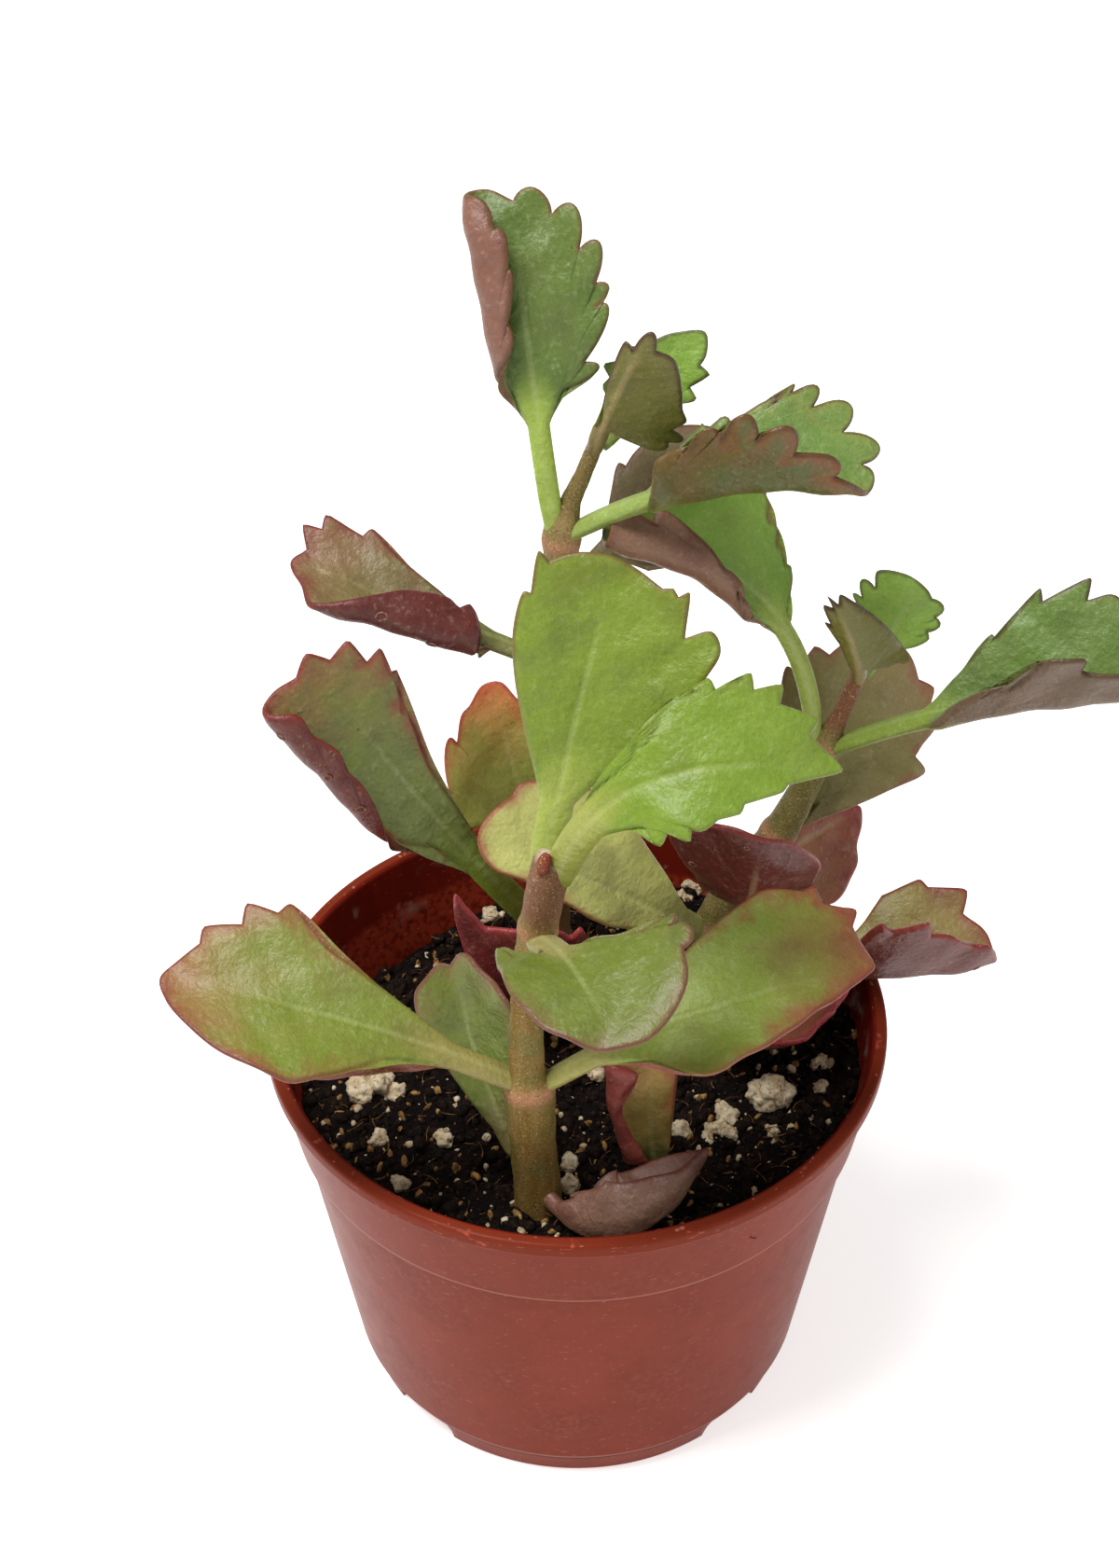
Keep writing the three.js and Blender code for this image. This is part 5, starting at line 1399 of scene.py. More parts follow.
@dataclass
class Leaf:
    """A fleshy leaf: a stalk that widens into a blade with rounded scallops and sharp notches.

    Lengths are in millimetres and angles in degrees. opening is where the halves begin to fold and
    over how far, as shares of the stalk. scallops_from is between which shares of the blade its rows
    take on the scallops. above is how much of the thickness lies over the middle surface.
    """

    plan: LeafPlan
    stalk_thickness: float = 2.7
    blade_thickness: float = 2.0
    edge_thickness: float = 1.0
    curl_reach: float = 20.0
    fold_rounding: float = 3.0
    roll_length: float = 5.0
    notch_turn: float = 12.0
    fan_power: float = 1.1
    opening: Vec2 = (0.7, 0.6)
    bend_steps: int = 24
    step: float = 0.7
    lobe_power: float = 0.62
    tooth_dulling: float = 0.03
    calm_reach: int = 9
    calm_rounds: int = 3
    scallops_from: Vec2 = (0.55, 0.94)
    inner_rows: int = 24
    edge_rows: tuple[float, ...] = (0.962, 0.978, 0.988, 0.995, 1.0)
    stalk_row: float = 1.6
    lip: float = 0.75
    ripple: float = 0.35
    young_ripple: float = 0.6
    groove_width: float = 0.8
    above: float = 0.4
    groove_above: float = 0.22
    groove_below: float = 0.32

    def __post_init__(self) -> None:
        """Measures the midrib once."""
        if self.plan.young:
            self.stalk_thickness, self.blade_thickness, self.edge_thickness = 1.8, 1.3, 0.8
        foot, bend, tip = (np.array(p, float) for p in (self.plan.foot, self.plan.bend, self.plan.tip))
        t = np.linspace(0, 1, 401)[:, None]
        self.rib = (1 - t) ** 2 * foot + 2 * t * (1 - t) * bend + t ** 2 * tip
        self.run = unit(2 * (1 - t) * (bend - foot) + 2 * t * (tip - bend))
        steps = np.linalg.norm(np.diff(self.rib, axis=0), axis=1)
        self.measure = np.concatenate([[0], np.cumsum(steps)])
        self.length = float(self.measure[-1])
        self.seed = sum(ord(letter) * (i + 3) for i, letter in enumerate(self.plan.name)) % 97

    def surface(self, along: np.ndarray, left: np.ndarray) -> tuple[np.ndarray, np.ndarray]:
        """Bends the flat leaf into its place.

        Args:
            along: Distance along the midrib of each point.
            left: Distance to the left of the midrib of each point.

        Returns:
            The places on the middle surface and the directions out of the upper side.
        """
        share = np.clip(along / self.length, 0, 1)
        at = share * self.length
        place = np.stack([np.interp(at, self.measure, self.rib[:, k]) for k in range(3)], -1)
        forward = unit(np.stack([np.interp(at, self.measure, self.run[:, k]) for k in range(3)], -1))
        place = place + forward * (along - at)[..., None]
        first, last = (facing(*pair) for pair in self.plan.faces)
        up = blend(first, last, share[..., None])
        up = unit(up - forward * (up * forward).sum(-1, keepdims=True))
        side = np.cross(up, forward)
        stalk = self.plan.stalk[0]
        opens_at, opens_over = self.opening
        opened = np.clip((along - opens_at * stalk) / (opens_over * stalk), 0, 1)
        on_left = left >= 0
        fold = np.radians(np.where(on_left, self.plan.fold[Side.LEFT.value],
                                   self.plan.fold[Side.RIGHT.value])) * opened
        curl = np.radians(np.where(on_left, self.plan.curl[Side.LEFT.value],
                                   self.plan.curl[Side.RIGHT.value])) * opened
        roll_foot, roll_tip, roll_degrees = self.plan.roll
        roll = np.radians(np.where(on_left, roll_degrees, 0.0)) * opened
        roll_start = blend(roll_foot, roll_tip, share)
        sign, width = np.where(on_left, 1.0, -1.0), np.abs(left)

        def turn_at(reach: np.ndarray) -> np.ndarray:
            """How far the half has turned up at a distance from the midrib."""
            rolled = np.clip((reach - roll_start) / self.roll_length, 0, 1)
            return (fold * np.minimum(1, reach / self.fold_rounding)
                    + curl * (reach / self.curl_reach) ** 2 + roll * rolled)

        out, rise = np.zeros_like(width), np.zeros_like(width)
        steps = self.bend_steps
        for i in range(steps):
            turn = turn_at((i + 0.5) / steps * width)
            out += np.cos(turn) * width / steps
            rise += np.sin(turn) * width / steps
        turn = turn_at(width)
        place = place + side * (sign * out)[..., None] + up * rise[..., None]
        normal = up * np.cos(turn)[..., None] - side * (sign * np.sin(turn))[..., None]
        return place, normal

    def notches(self) -> list[int]:
        """Which points of the edge are notches, where it turns inwards, with both its ends."""
        edge = np.array(self.plan.edge, float)
        into, out = edge[1:-1] - edge[:-2], edge[2:] - edge[1:-1]
        turn = np.degrees(np.arctan2(into[:, 0] * out[:, 1] - into[:, 1] * out[:, 0], (into * out).sum(1)))
        return [0, *(np.flatnonzero(turn > self.notch_turn) + 1).tolist(), len(edge) - 1]

    def lobe(self, run: np.ndarray) -> np.ndarray:
        """Rounds off one run of the edge, from a notch to the next.

        Args:
            run: The run's points, both notches among them.

        Returns:
            Close points along the lobe, all but the last notch.
        """
        length = float(np.linalg.norm(np.diff(run, axis=0), axis=1).sum())
        count = max(3, round(length / self.step))
        if len(run) == 2:
            return blend(run[0], run[1], np.linspace(0, 1, count + 1)[:-1, None])
        if len(run) == 3:
            first, peak, last = run
            t = (1 - np.cos(np.linspace(0, np.pi, count + 1)[:-1, None])) / 2
            if self.plan.pointed:
                dull = self.tooth_dulling
                lift = math.sqrt(1 + dull) - np.sqrt((2 * t - 1) ** 2 + dull)
                lift = lift / (math.sqrt(1 + dull) - math.sqrt(dull))
            else:
                lift = np.maximum(0, 1 - (2 * t - 1) ** 2) ** self.lobe_power
            return first + (last - first) * t + (peak - (first + last) / 2) * lift
        ends = np.vstack([2 * run[0] - run[1], run, 2 * run[-1] - run[-2]])
        rows = []
        for before, start, stop, after in zip(ends[:-3], ends[1:-2], ends[2:-1], ends[3:]):
            spans = [math.sqrt(float(np.linalg.norm(q - p)) + 1e-6)
                     for p, q in ((before, start), (start, stop), (stop, after))]
            leave = ((start - before) / spans[0] - (stop - before) / (spans[0] + spans[1])
                     + (stop - start) / spans[1]) * spans[1]
            reach = ((stop - start) / spans[1] - (after - start) / (spans[1] + spans[2])
                     + (after - stop) / spans[2]) * spans[1]
            count = max(2, round(spans[1] ** 2 / self.step))
            t = np.linspace(0, 1, count + 1)[:-1, None]
            rows.append((2 * t ** 3 - 3 * t ** 2 + 1) * start + (t ** 3 - 2 * t ** 2 + t) * leave
                        + (3 * t ** 2 - 2 * t ** 3) * stop + (t ** 3 - t ** 2) * reach)
        return np.vstack(rows)

    def edge_line(self) -> np.ndarray:
        """The scalloped edge from the left round the tip to the right, one row for each point."""
        edge, ends = np.array(self.plan.edge, float), self.notches()
        lobes = [self.lobe(edge[start:stop + 1]) for start, stop in zip(ends[:-1], ends[1:])]
        return np.vstack([*lobes, edge[-1:]])

    def softened(self, line: np.ndarray) -> np.ndarray:
        """The edge as a calm curve, its ends kept, for the rows inside the blade."""
        calm = line.copy()
        reach = min(self.calm_reach, len(line) // 6)
        for _ in range(self.calm_rounds):
            wide = np.vstack([2 * calm[0] - calm[reach:0:-1], calm, 2 * calm[-1] - calm[-2:-reach - 2:-1]])
            total = np.cumsum(np.vstack([np.zeros(2), wide]), axis=0)
            calm = (total[2 * reach + 1:] - total[:-2 * reach - 1]) / (2 * reach + 1)
        return calm

    def flat(self) -> dict[str, np.ndarray]:
        """The flat leaf as rows up the stalk and the blade, with what is known at each point."""
        edge = self.edge_line()
        calm = self.softened(edge)
        steps = np.linalg.norm(np.diff(edge, axis=0), axis=1)
        across = 1 - 2 * np.concatenate([[0], np.cumsum(steps)]) / steps.sum()
        stalk, half = self.plan.stalk
        stalk_rows = np.linspace(0, 1, max(5, int(stalk / self.stalk_row)))[:-1]
        calm_until, scalloped = self.scallops_from
        blade = np.concatenate([np.linspace(0, scalloped, self.inner_rows), self.edge_rows])
        along, left, grown, thick = [], [], [], []
        for s in stalk_rows:
            along.append(np.full_like(across, stalk * s))
            left.append(half * across * blend(0.8, 1.0, min(1, s * 3)))
            grown.append(np.full_like(across, 0.0))
            thick.append(np.full_like(across, self.stalk_thickness))
        for s in blade:
            aim = blend(calm, edge, smooth(calm_until, scalloped, s))
            along.append(blend(stalk, aim[:, 0], s))
            left.append(blend(half * across, aim[:, 1], s ** self.fan_power))
            grown.append(np.full_like(across, s))
            body = blend(self.stalk_thickness, self.blade_thickness, min(1, 2 * s))
            thick.append(np.full_like(across, blend(body, self.edge_thickness, s ** 4)))
        return {"along": np.array(along), "left": np.array(left), "blade": np.array(grown),
                "thick": np.array(thick)}

    @staticmethod
    def to_outline(along: np.ndarray, left: np.ndarray) -> np.ndarray:
        """The distance of each point from the leaf's outline, its foot left out."""
        line = np.concatenate([
            np.stack([along[:, 0], left[:, 0]], 1), np.stack([along[-1], left[-1]], 1)[1:-1],
            np.stack([along[::-1, -1], left[::-1, -1]], 1)])
        a, b = line[:-1], line[1:]
        run = b - a
        size = np.maximum((run ** 2).sum(1), 1e-12)
        spots = np.stack([along.ravel(), left.ravel()], 1)
        least = np.full(len(spots), 1e9)
        for start, way, long in zip(a, run, size):
            t = np.clip(((spots - start) @ way) / long, 0, 1)
            near = spots - start - t[:, None] * way
            least = np.minimum(least, (near ** 2).sum(1))
        return np.sqrt(least).reshape(along.shape)

    def build(self) -> bpy.types.Object:
        flat = self.flat()
        along, left, grown = flat["along"], flat["left"], flat["blade"]
        edge = self.to_outline(along, left)
        place, normal = self.surface(along, left)
        lip = blend(self.plan.stalk[1], self.lip, np.clip(grown * 3, 0, 1))
        rounded = np.sqrt(1 - (1 - np.minimum(edge / lip, 1)) ** 2)
        thick = flat["thick"] * rounded
        wave = (np.sin(along * 0.33 + self.seed) * np.sin(left * 0.47 + self.seed * 2.1)
                + 0.6 * np.sin(along * 0.71 + left * 0.55 + self.seed * 3.7))
        wave = wave * self.ripple * grown * (self.young_ripple if self.plan.young else 1.0)
        groove = np.exp(-(left / self.groove_width) ** 2)
        groove = groove * smooth(0.0, 0.15, grown) * (1 - smooth(0.5, 0.95, grown))
        upper = place + normal * (wave + thick * self.above - groove * self.groove_above)[..., None]
        lower = place + normal * (wave - thick * (1 - self.above) - groove * self.groove_below)[..., None]
        rows, columns = along.shape
        count = rows * columns
        rim = np.zeros((rows, columns), bool)
        rim[-1, :] = rim[:, 0] = rim[:, -1] = True
        number = np.arange(count).reshape(rows, columns)
        below = np.where(rim, number, 0)
        below[~rim] = count + np.arange(int((~rim).sum()))
        points = np.vstack([upper.reshape(-1, 3), lower[~rim]])

        def quads(grid: np.ndarray, flipped: bool) -> list[tuple[int, int, int, int]]:
            """Faces between neighbouring rows and columns."""
            a, b = grid[:-1, :-1], grid[:-1, 1:]
            c, d = grid[1:, 1:], grid[1:, :-1]
            order = (a, d, c, b) if flipped else (a, b, c, d)
            return np.stack([part.ravel() for part in order], 1).tolist()

        top, low = quads(number, False), quads(below, True)
        foot = [tuple(number[0, ::-1]) + tuple(below[0, 1:-1])]
        numbers = {key: np.concatenate([grid.ravel(), grid[~rim]]) for key, grid in (
            ("edge", edge), ("along", along / along.max()), ("left", left), ("blade", grown))}
        numbers["under"] = np.array([0.0] * len(top) + [1.0] * (len(low) + 1))
        leaf = mesh_piece(self.plan.name + "_blade", points, top + low + foot, numbers)
        leaf.data.materials.append(self.plan.look.material(self.plan.name, float(self.seed)))
        leaf.data.shade_smooth()
        adopt(leaf, "leaf", self.plan.name)
        return leaf


@dataclass
class CorkRings:
    """Small healed rings on the undersides of the old leaves.

    margin is the nearest and the farthest that a ring lies from the leaf's edge, in millimetres.
    per_square_metre turns rings on a square centimetre into rings on a square metre.
    """

    inner: float = 0.35
    outer: float = 0.62
    spacing: float = 2.4
    margin: Vec2 = (0.8, 6.5)
    blade_from: float = 0.3
    per_square_metre: float = 10000.0

    def rings(self) -> Recipe:
        """A tree that strews rings near the margin of a leaf's underside."""
        recipe = Recipe("cork_rings", {"Spacing": self.spacing * MM, "Density": 60000.0, "Seed": 21,
                                       "Inner": self.inner * MM, "Outer": self.outer * MM})
        mark = recipe.given("Seed")
        nearest, farthest = self.margin
        chosen = (recipe.named("under").over(0.5) * (farthest - recipe.named("edge")).over(0)
                  * recipe.named("edge").over(nearest) * recipe.named("blade").over(self.blade_from))
        spread = recipe.strewn(chosen, recipe.given("Density"))
        torus = recipe.node("GeometryNodeCurveToMesh", None, {
            "Curve": recipe.hoop(12, recipe.given("Outer")),
            "Profile Curve": recipe.hoop(6, recipe.given("Inner") * 0.55)}).outputs[0]
        size = recipe.chance(0.5, 1.25, mark, 1)
        wide = recipe.chance(0.8, 1.3, mark, 2)
        placed = recipe.node("GeometryNodeInstanceOnPoints", None, {
            "Points": spread.outputs["Points"], "Instance": torus, "Rotation": spread.outputs["Rotation"],
            "Scale": recipe.joined(size * wide, size, size * 0.55)}).outputs[0]
        recipe.close(placed, CorkFinish().material())
        return recipe

    def build(self, leaves: Sequence[tuple[LeafPlan, bpy.types.Object]]) -> None:
        """Makes the rings of every corky leaf."""
        recipe = self.rings()
        for plan, leaf in leaves:
            if plan.corky <= 0:
                continue
            piece = bpy.data.objects.new(plan.name + "_cork", leaf.data.copy())
            bpy.context.scene.collection.objects.link(piece)
            recipe.run(piece, Density=plan.corky * self.per_square_metre, Seed=len(plan.name))
            if len(piece.data.vertices):
                adopt(piece, "leaf")
            else:
                bpy.data.objects.remove(piece)


LEAVES = (
    LeafPlan(
        "leaf_front_left", (-8, -32, 89), (-30, -37, 108), (-64, -30, 111), ((-90, 72), (-90, 72)),
        (12, 14), (25, 0), (14, 2.1),
        ((25.5, 5), (32.5, 10.5), (38.5, 14), (44, 13.5), (50, 11), (56, 7.5), (59.5, 4), (61.5, 0),
         (57, -6.5), (57, -9.5), (51.5, -11), (51.5, -14.5), (46.5, -14), (45, -16), (41.5, -13.5),
         (37.5, -10.5)), YELLOW_GREEN, corky=3, pointed=True),
    LeafPlan(
        "leaf_front_right", (-6, -32, 89), (14, -40, 114), (46, -24, 106), ((-90, 72), (-90, 72)),
        (5, 5), (0, 60), (13, 1.9),
        ((33.5, 11.5), (46.5, 17), (54.5, 15.5), (56.5, 16), (57, 13), (60, 11.5), (62, 10.5),
         (60.5, 8), (61, 0.5), (58.5, -1), (46.5, -6), (38, -9.5), (30, -11.5), (22, -5.5)),
        REDDENED_GREEN, corky=1.5, pointed=True),
    LeafPlan(
        "leaf_front_near", (-6, -34, 122), (1, -49, 130), (4, -60, 126), ((-70, 80), (-90, 85)),
        (15, 10), (20, 10), (7, 2.6),
        ((10, 5.5), (14, 12), (14.5, 17), (16, 15.5), (18.5, 18), (20.5, 15.5), (24.5, 14),
         (28, 10), (30.5, 5.5), (30.5, 2), (29, -3.5), (24.5, -8.5), (17, -11), (10, -10), (-2, -6),
         (4.5, -5.5)), GREY_GREEN),
    LeafPlan(
        "leaf_front_upper_back", (-5, -31, 133), (-2, -24, 150), (6, -12, 176), ((-95, 25), (-95, 15)),
        (10, 10), (0, 0), (11, 2.6),
        ((19.5, 6.5), (27.5, 10), (34, 12), (40.5, 12), (40.5, 11), (46.5, 11.5), (45.5, 9.5),
         (47.5, 6.5), (48.5, 1), (46, -7.5), (46.5, -9), (45.5, -10), (46.5, -11.5), (40, -12.5),
         (42, -16), (39.5, -18), (35, -17), (27, -14), (22.5, -10.5)), TALL_GREEN, pointed=True),
    LeafPlan(
        "leaf_front_upper_right", (-3, -33, 133), (4, -40, 166), (38, -32, 152), ((-90, 50), (-90, 50)),
        (5, 5), (0, 0), (14, 2.6),
        ((24, 3.5), (27, 7), (27.5, 5.5), (32, 11), (33, 10), (36, 13), (37, 10.5), (41, 13.5),
         (41.5, 11), (45.5, 12), (45, 9), (50.5, 7.5), (49.5, 5), (55, 0.5), (46.5, -2.5), (45, -4),
         (39.5, -5.5), (38.5, -7), (35, -7.5), (32, -9), (30.5, -8), (29.5, -10), (26.5, -7.5),
         (24, -9), (22.5, -5.5)), BRIGHT, pointed=True),
    LeafPlan(
        "leaf_front_low_left", (-9, -30, 71), (-18, -22, 88), (-19, -17, 103), ((-120, 30), (-120, 30)),
        (30, 30), (0, 0), (6, 2.6),
        ((22.5, 7), (28, 8), (31, 7.5), (33, 5.5), (35, 3), (34.5, 1.5), (37, -1), (35, -7),
         (31.5, -12.5), (24.5, -12), (16, -8)), GREY_GREEN, pointed=True),
    LeafPlan(
        "leaf_front_low_right", (13, -25, 60), (11, -25, 75), (12, -21, 88), ((-80, 30), (-80, 30)),
        (0, 10), (0, 0), (6, 2.6),
        ((8, 9), (12.5, 8.5), (17.5, 8.5), (21, 10), (25, 13.5), (27, 4), (28, 0), (27, -4),
         (22.5, -4.5), (15, -4), (6.5, -3)), COPPER, pointed=True, roll=(1, 6, 165)),
    LeafPlan(
        "leaf_front_low_soil", (-5, -34, 66.5), (8, -50, 61), (21, -33, 77), ((90, 25), (90, 25)),
        (100, 60), (0, 0), (3, 1.6),
        ((6, 4), (6.5, 10.5), (26.5, 9), (32, 5), (34.5, 0), (29, -2.5), (24, -6), (13.5, -9),
         (4.5, -4.5), (5, -4)), PINK_BROWN),
    LeafPlan(
        "leaf_tall_top_left", (-3, 17, 160), (-6.5, 14, 188), (-9, 30, 212), ((-90, 25), (-95, 10)),
        (0, 5), (0, 0), (20, 1.7),
        ((22, 2.5), (25.5, 3.5), (29.5, 6.5), (34, 10), (37, 10), (42.5, 12.5), (44, 12),
         (48.5, 13.5), (50, 12), (53, 12), (54.5, 11), (56, 6), (56, 3.5), (54, 0), (55.5, -3.5),
         (51.5, -5.5), (52, -9.5), (46, -9), (46.5, -12.5), (41, -11), (40, -13), (37.5, -10.5),
         (36, -12.5), (29.5, -8), (28, -10), (25.5, -4.5)), SILVER, roll=(0, 5, 165)),
    LeafPlan(
        "leaf_tall_young_front", (3, 16.4, 176), (4, 14, 183), (11, 12, 199), ((90, -20), (90, -20)),
        (10, 10), (0, 0), (5, 1.4),
        ((3.5, 7), (4, 10), (6, 10), (6.5, 12.5), (8.5, 10), (11, 11.5), (13.5, 10), (17, 8.5),
         (22, 5), (22.5, 2), (25, 0), (21, -1), (21.5, -2.5), (16.5, -2.5), (11, -1.5), (6.5, -0.5)),
        YOUNG_OLIVE, young=True),
    LeafPlan(
        "leaf_tall_young_rear", (4, 17.6, 176), (11, 23, 181), (17, 26, 191), ((-80, 35), (-80, 35)),
        (10, 10), (0, 0), (6, 1.4),
        ((6, 3.5), (7, 6), (9, 6), (10, 8), (12, 6.5), (14.5, 7), (16, 4.5), (19.5, 2.5), (21, 1),
         (23, -2.5), (20, -4.5), (18.5, -4.5), (18, -6.5), (15, -5), (14, -7), (12.5, -5)),
        YOUNG_GREEN, pointed=True, young=True),
    LeafPlan(
        "leaf_tall_top_right", (-1.5, 17, 160), (19, 8, 180), (45, 14, 170), ((-90, 75), (-90, 75)),
        (35, 95), (0, 0), (16, 1.7),
        ((26, 10), (27, 8.5), (29, 10.5), (30, 9), (35, 12.5), (35.5, 11.5), (38.5, 15),
         (38.5, 13.5), (42, 15), (41.5, 11.5), (47, 13), (46.5, 8.5), (52.5, 7.5), (50, 4),
         (51.5, 0), (43.5, -5), (43, -8), (37.5, -9), (36.5, -14), (33, -12), (31.5, -16.5),
         (29, -12), (27.5, -15), (25.5, -11.5), (22.5, -11), (20.5, -9.5)), OLIVE_UNDER),
    LeafPlan(
        "leaf_tall_upper_rear", (-2, 18, 145), (12, 30, 160), (30, 40, 160), ((-90, 40), (-90, 40)),
        (10, 10), (0, 0), (12, 2.4),
        ((13.5, 2), (16, 4.5), (22, 9.5), (22.5, 8.5), (25, 9.5), (30, 9.5), (33.5, 8.5),
         (39.5, 3.5), (40.5, -6.5), (34, -9.5), (24.5, -10.5), (19, -9.5), (14, -6.5)),
        GREY_BROWN, pointed=True),
    LeafPlan(
        "leaf_tall_upper_left", (-3, 17, 135), (-16, 12, 145), (-43, 18, 154), ((-90, 75), (-90, 75)),
        (20, 20), (0, 0), (12, 1.7),
        ((14, 2), (18, 12.5), (20, 12), (22, 13.5), (28, 14), (32.5, 12.5), (38, 10.5), (41, 9),
         (43.5, 4.5), (46.5, 0), (45, -3), (47, -6.5), (44, -7), (44, -9.5), (37.5, -8.5),
         (36.5, -10), (32.5, -8), (23, -4.5)), BROWN_GREEN, corky=4, pointed=True, roll=(0, 8.5, 150)),
    LeafPlan(
        "leaf_tall_low_left", (-4, 17, 76), (-25, 0, 118), (-42, 4, 148), ((-100, 45), (-80, 45)),
        (10, 5), (0, 0), (26, 2.4),
        ((31, 2.5), (39, 3.5), (52.5, 11.5), (60, 14.5), (65.5, 15), (69, 16.5), (73.5, 15.5),
         (78, 16), (81, 8.5), (80.5, 3.5), (82.5, 0), (79, -2.5), (80, -6.5), (75, -7), (75.5, -10),
         (71, -8.5), (70, -10), (63.5, -6.5), (61.5, -7), (52, -4.5)),
        OLD_GREEN, corky=4, pointed=True, roll=(2.5, 9.5, 150)),
    LeafPlan(
        "leaf_tall_low_rear", (-4, 18, 93), (-10, 23, 102), (-14, 32, 120), ((-90, 30), (-90, 30)),
        (5, 5), (0, 0), (8, 2.4),
        ((10, 11), (15.5, 12.5), (16.5, 11.5), (23.5, 10), (23.5, 8), (28, 6), (29, 4.5), (32, 1.5),
         (32, -1.5), (29, -3.5), (22.5, -7), (14, -5.5)), FLAME),
    LeafPlan(
        "leaf_tall_low_front", (-5, 17, 68), (-10, -2, 68), (-9, -4, 95), ((90, 60), (90, 20)),
        (30, 10), (0, 0), (6, 2.4),
        ((17.5, 14.5), (30.5, 14.5), (30, 13), (36.5, 11), (35, 9), (37.5, 7), (39.5, 2.5),
         (40.5, -0.5), (40.5, -6), (44.5, -9), (47, -11), (41, -11), (34, -9.5), (19.5, -3.5)),
        CRIMSON, corky=1, pointed=True),
    LeafPlan(
        "leaf_right_low_left", (23, 20, 73), (7, 7, 96.5), (-16, 2.5, 110), ((-90, 45), (-90, 45)),
        (5, 5), (0, 0), (9, 2.6),
        ((18, 4), (27.5, 6), (38, 5), (46.5, 4), (53, 3.5), (56.5, 1), (57.5, -1.5), (56, -6),
         (53.5, -9), (53, -11), (46.5, -14), (37, -14), (30, -11.5)), PALE, corky=2, pointed=True),
    LeafPlan(
        "leaf_right_top_left", (39.6, 21, 115), (38, 24, 149), (5, 17.5, 160.8), ((-110, 45), (-90, 70)),
        (20, 10), (0, 0), (24, 1.6),
        ((27, 2), (35, 6), (38.5, 6), (41, 8.5), (44, 8), (49, 10.5), (55.5, 13.5), (56.5, 10.5),
         (62.5, 12.5), (61.5, -3), (56, -8), (51.5, -12.5), (46.5, -15), (38.5, -14.5), (37, -11),
         (35.5, -11.5), (34.5, -8.5), (33.5, -8.5), (32, -7), (31, -7.5), (28.5, -4.5),
         (27.5, -2.5)), FRESH_GREEN, pointed=True, roll=(1.5, 3.5, 150)),
    LeafPlan(
        "leaf_right_top_right", (42, 21, 114), (62, 8, 136), (96, 8, 136), ((-90, 75), (-90, 75)),
        (40, 85), (0, 0), (20, 1.8),
        ((27.5, 6.5), (31, 9), (33, 11.5), (34, 10.5), (41, 17.5), (41.5, 15.5), (48.5, 18.5),
         (48, 15), (52, 15.5), (56, 8), (60, 0), (57, -6), (51.5, -9), (46.5, -10), (47, -13.5),
         (42.5, -15), (39, -11.5), (36.5, -9), (32, -8), (28.5, -6.5)), DARK_GREEN, pointed=True),
    LeafPlan(
        "leaf_right_young_front", (46, 20.4, 129), (46, 16, 137), (40, 14, 150), ((90, 10), (90, 10)),
        (25, 25), (0, 0), (4, 1.4),
        ((3.5, 2), (3.5, 5.5), (4, 6.5), (3.5, 8.5), (5, 8), (13.5, 5.5), (20, 3), (23, 1.5),
         (21, 0.5), (23.5, -0.5), (20.5, -0.5), (21.5, -2), (17, -2), (17.5, -3), (13, -2),
         (7.5, -2)), YOUNG_OLIVE, pointed=True, young=True),
    LeafPlan(
        "leaf_right_young_rear", (47, 21.6, 129), (51, 26, 133), (56, 28, 143), ((-90, 35), (-90, 35)),
        (0, 0), (0, 0), (5, 1.4),
        ((9, 5.5), (10.5, 8.5), (11, 7), (13.5, 8.5), (13.5, 6), (16, 7), (18, 2.5), (17.5, -1.5),
         (16.5, -3), (16, -5.5), (14, -5), (13, -6.5), (11.5, -5), (10.5, -6), (8.5, -5), (7, -3.5)),
        YOUNG_GREEN, young=True),
    LeafPlan(
        "leaf_right_rear", (35, 22, 96), (45, 28, 114), (63, 42, 107), ((-90, 35), (-90, 35)),
        (5, 5), (0, 0), (7, 2.6),
        ((11, 8), (15.5, 14.5), (18, 17.5), (18.5, 15.5), (22, 17.5), (23, 15), (25.5, 15.5),
         (30, 15.5), (34, 10.5), (35.5, 5), (38.5, 3), (37.5, 0), (39.5, -3), (29.5, -7.5),
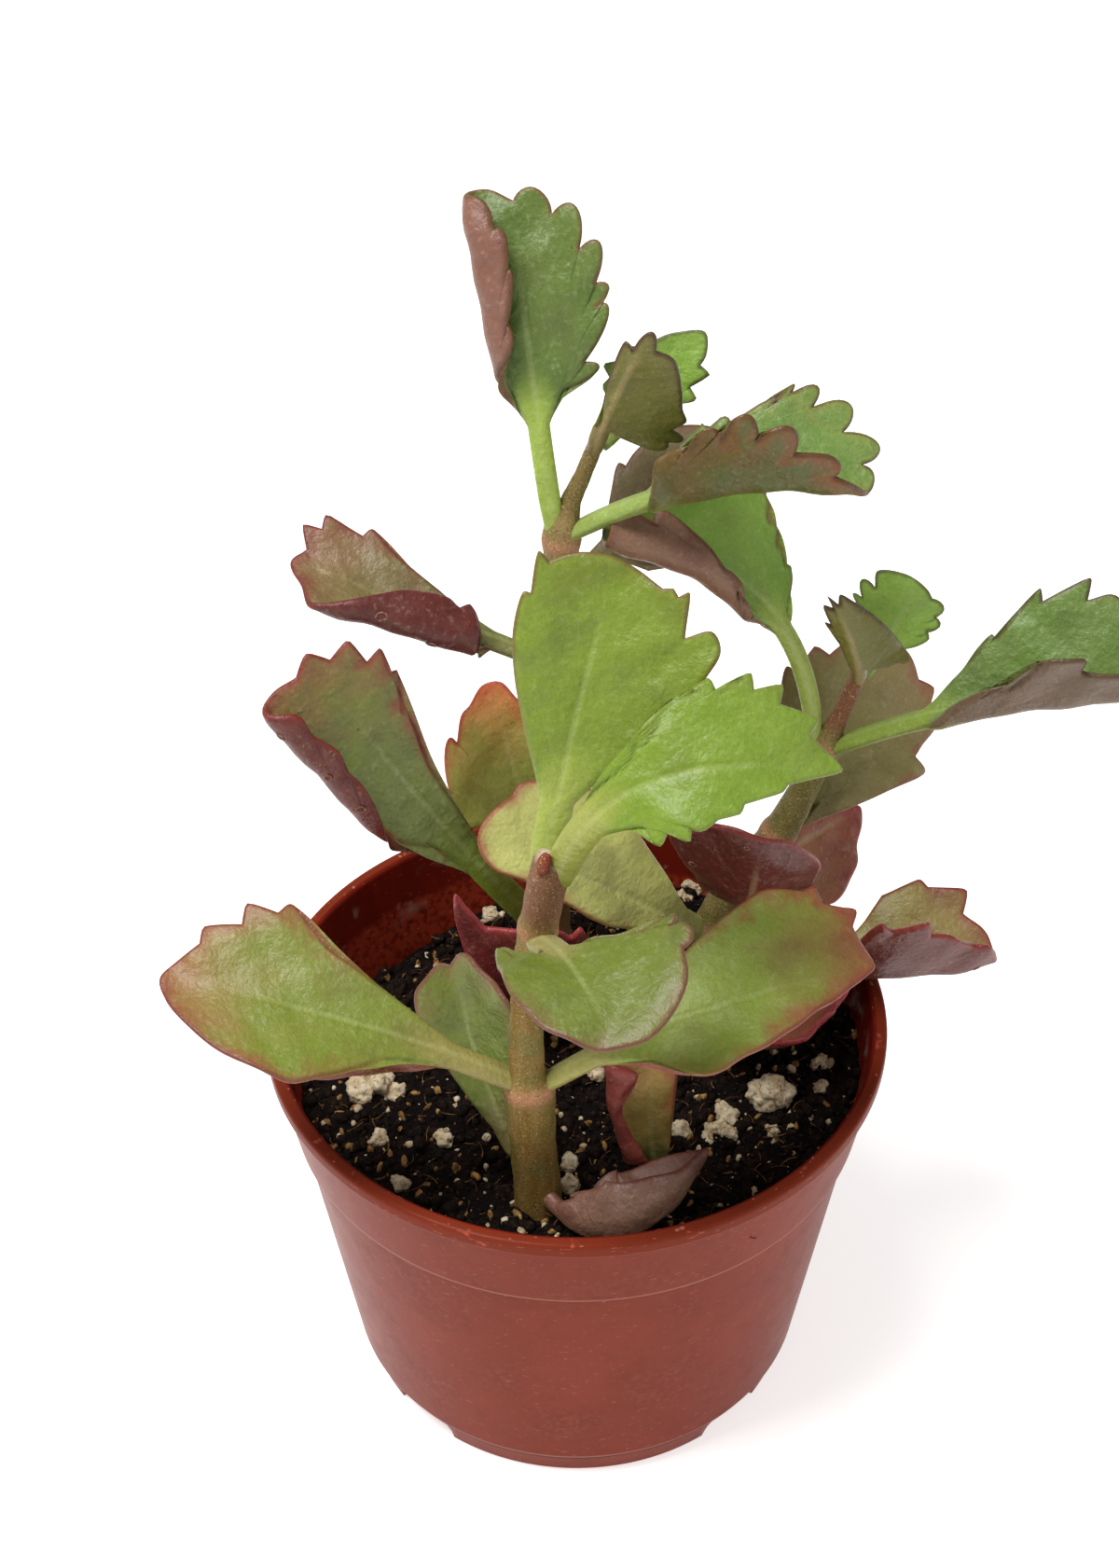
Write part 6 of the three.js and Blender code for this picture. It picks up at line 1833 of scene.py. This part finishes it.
         (31, -10.5), (16, -9.5), (5, -5), (0.5, -2)), BRONZE, pointed=True),
    LeafPlan(
        "leaf_right_mid_rear", (30, 22, 86), (39, 30, 85), (51, 44, 82), ((-70, 40), (-70, 40)),
        (5, 5), (0, 20), (6, 2.4),
        ((21, 3), (31, 0), (26, -5.5), (22, -9), (13.5, -12), (9.5, -9.5), (7.5, -4)),
        CRIMSON, pointed=True),
    LeafPlan(
        "leaf_right_mid_front", (29, 20, 88), (28, 2, 90), (29, -6, 116), ((90, 60), (90, 20)),
        (15, 25), (0, 0), (6, 2.4),
        ((19, 10), (28.5, 11.5), (35, 9), (41, 4), (44, -2.5), (43.5, -7), (39, -11.5), (34.5, -15),
         (27.5, -12), (3.5, -4.5)), MAROON, corky=3, pointed=True),
    LeafPlan(
        "leaf_right_low_right", (25, 21, 76), (43, 3.5, 75.5), (71, 8, 79.5), ((-90, 80), (-90, 80)),
        (30, 75), (0, 0), (22, 2.2),
        ((30.5, 12.5), (38.5, 15), (40.5, 13.5), (48, 12), (46.5, 8), (50, 3.5), (48, -10),
         (46, -10), (42.5, -16.5), (39, -18.5), (38.5, -23.5), (33.5, -20), (32, -24), (29, -18)),
        MAROON, corky=2, pointed=True),
    LeafPlan(
        "leaf_right_low_near", (23, 20, 69), (32, 2, 62), (38, -12, 80), ((120, 70), (120, 30)),
        (20, 20), (0, 0), (8, 2.4),
        ((22, 12), (25.5, 11.5), (28, 14), (31, 12), (34, 13), (34.5, 9), (38, 7), (37, 3.5),
         (39, 0), (37, -3.5), (38, -7), (35, -8.5), (34, -12), (31, -11), (28, -13), (25.5, -10.5),
         (22, -11)), CRIMSON, corky=3, pointed=True),
)


def main() -> None:
    """Builds the studio and every sub-assembly in order."""
    logging.basicConfig(level=logging.INFO, format="%(message)s")
    Studio().build()
    NurseryPot().build()
    SoilBed().build()
    for plan in STEMS:
        Stem(plan).build()
    Bud().build()
    made = [(plan, Leaf(plan).build()) for plan in LEAVES]
    CorkRings().build(made)


if __name__ == "__main__":
    main()
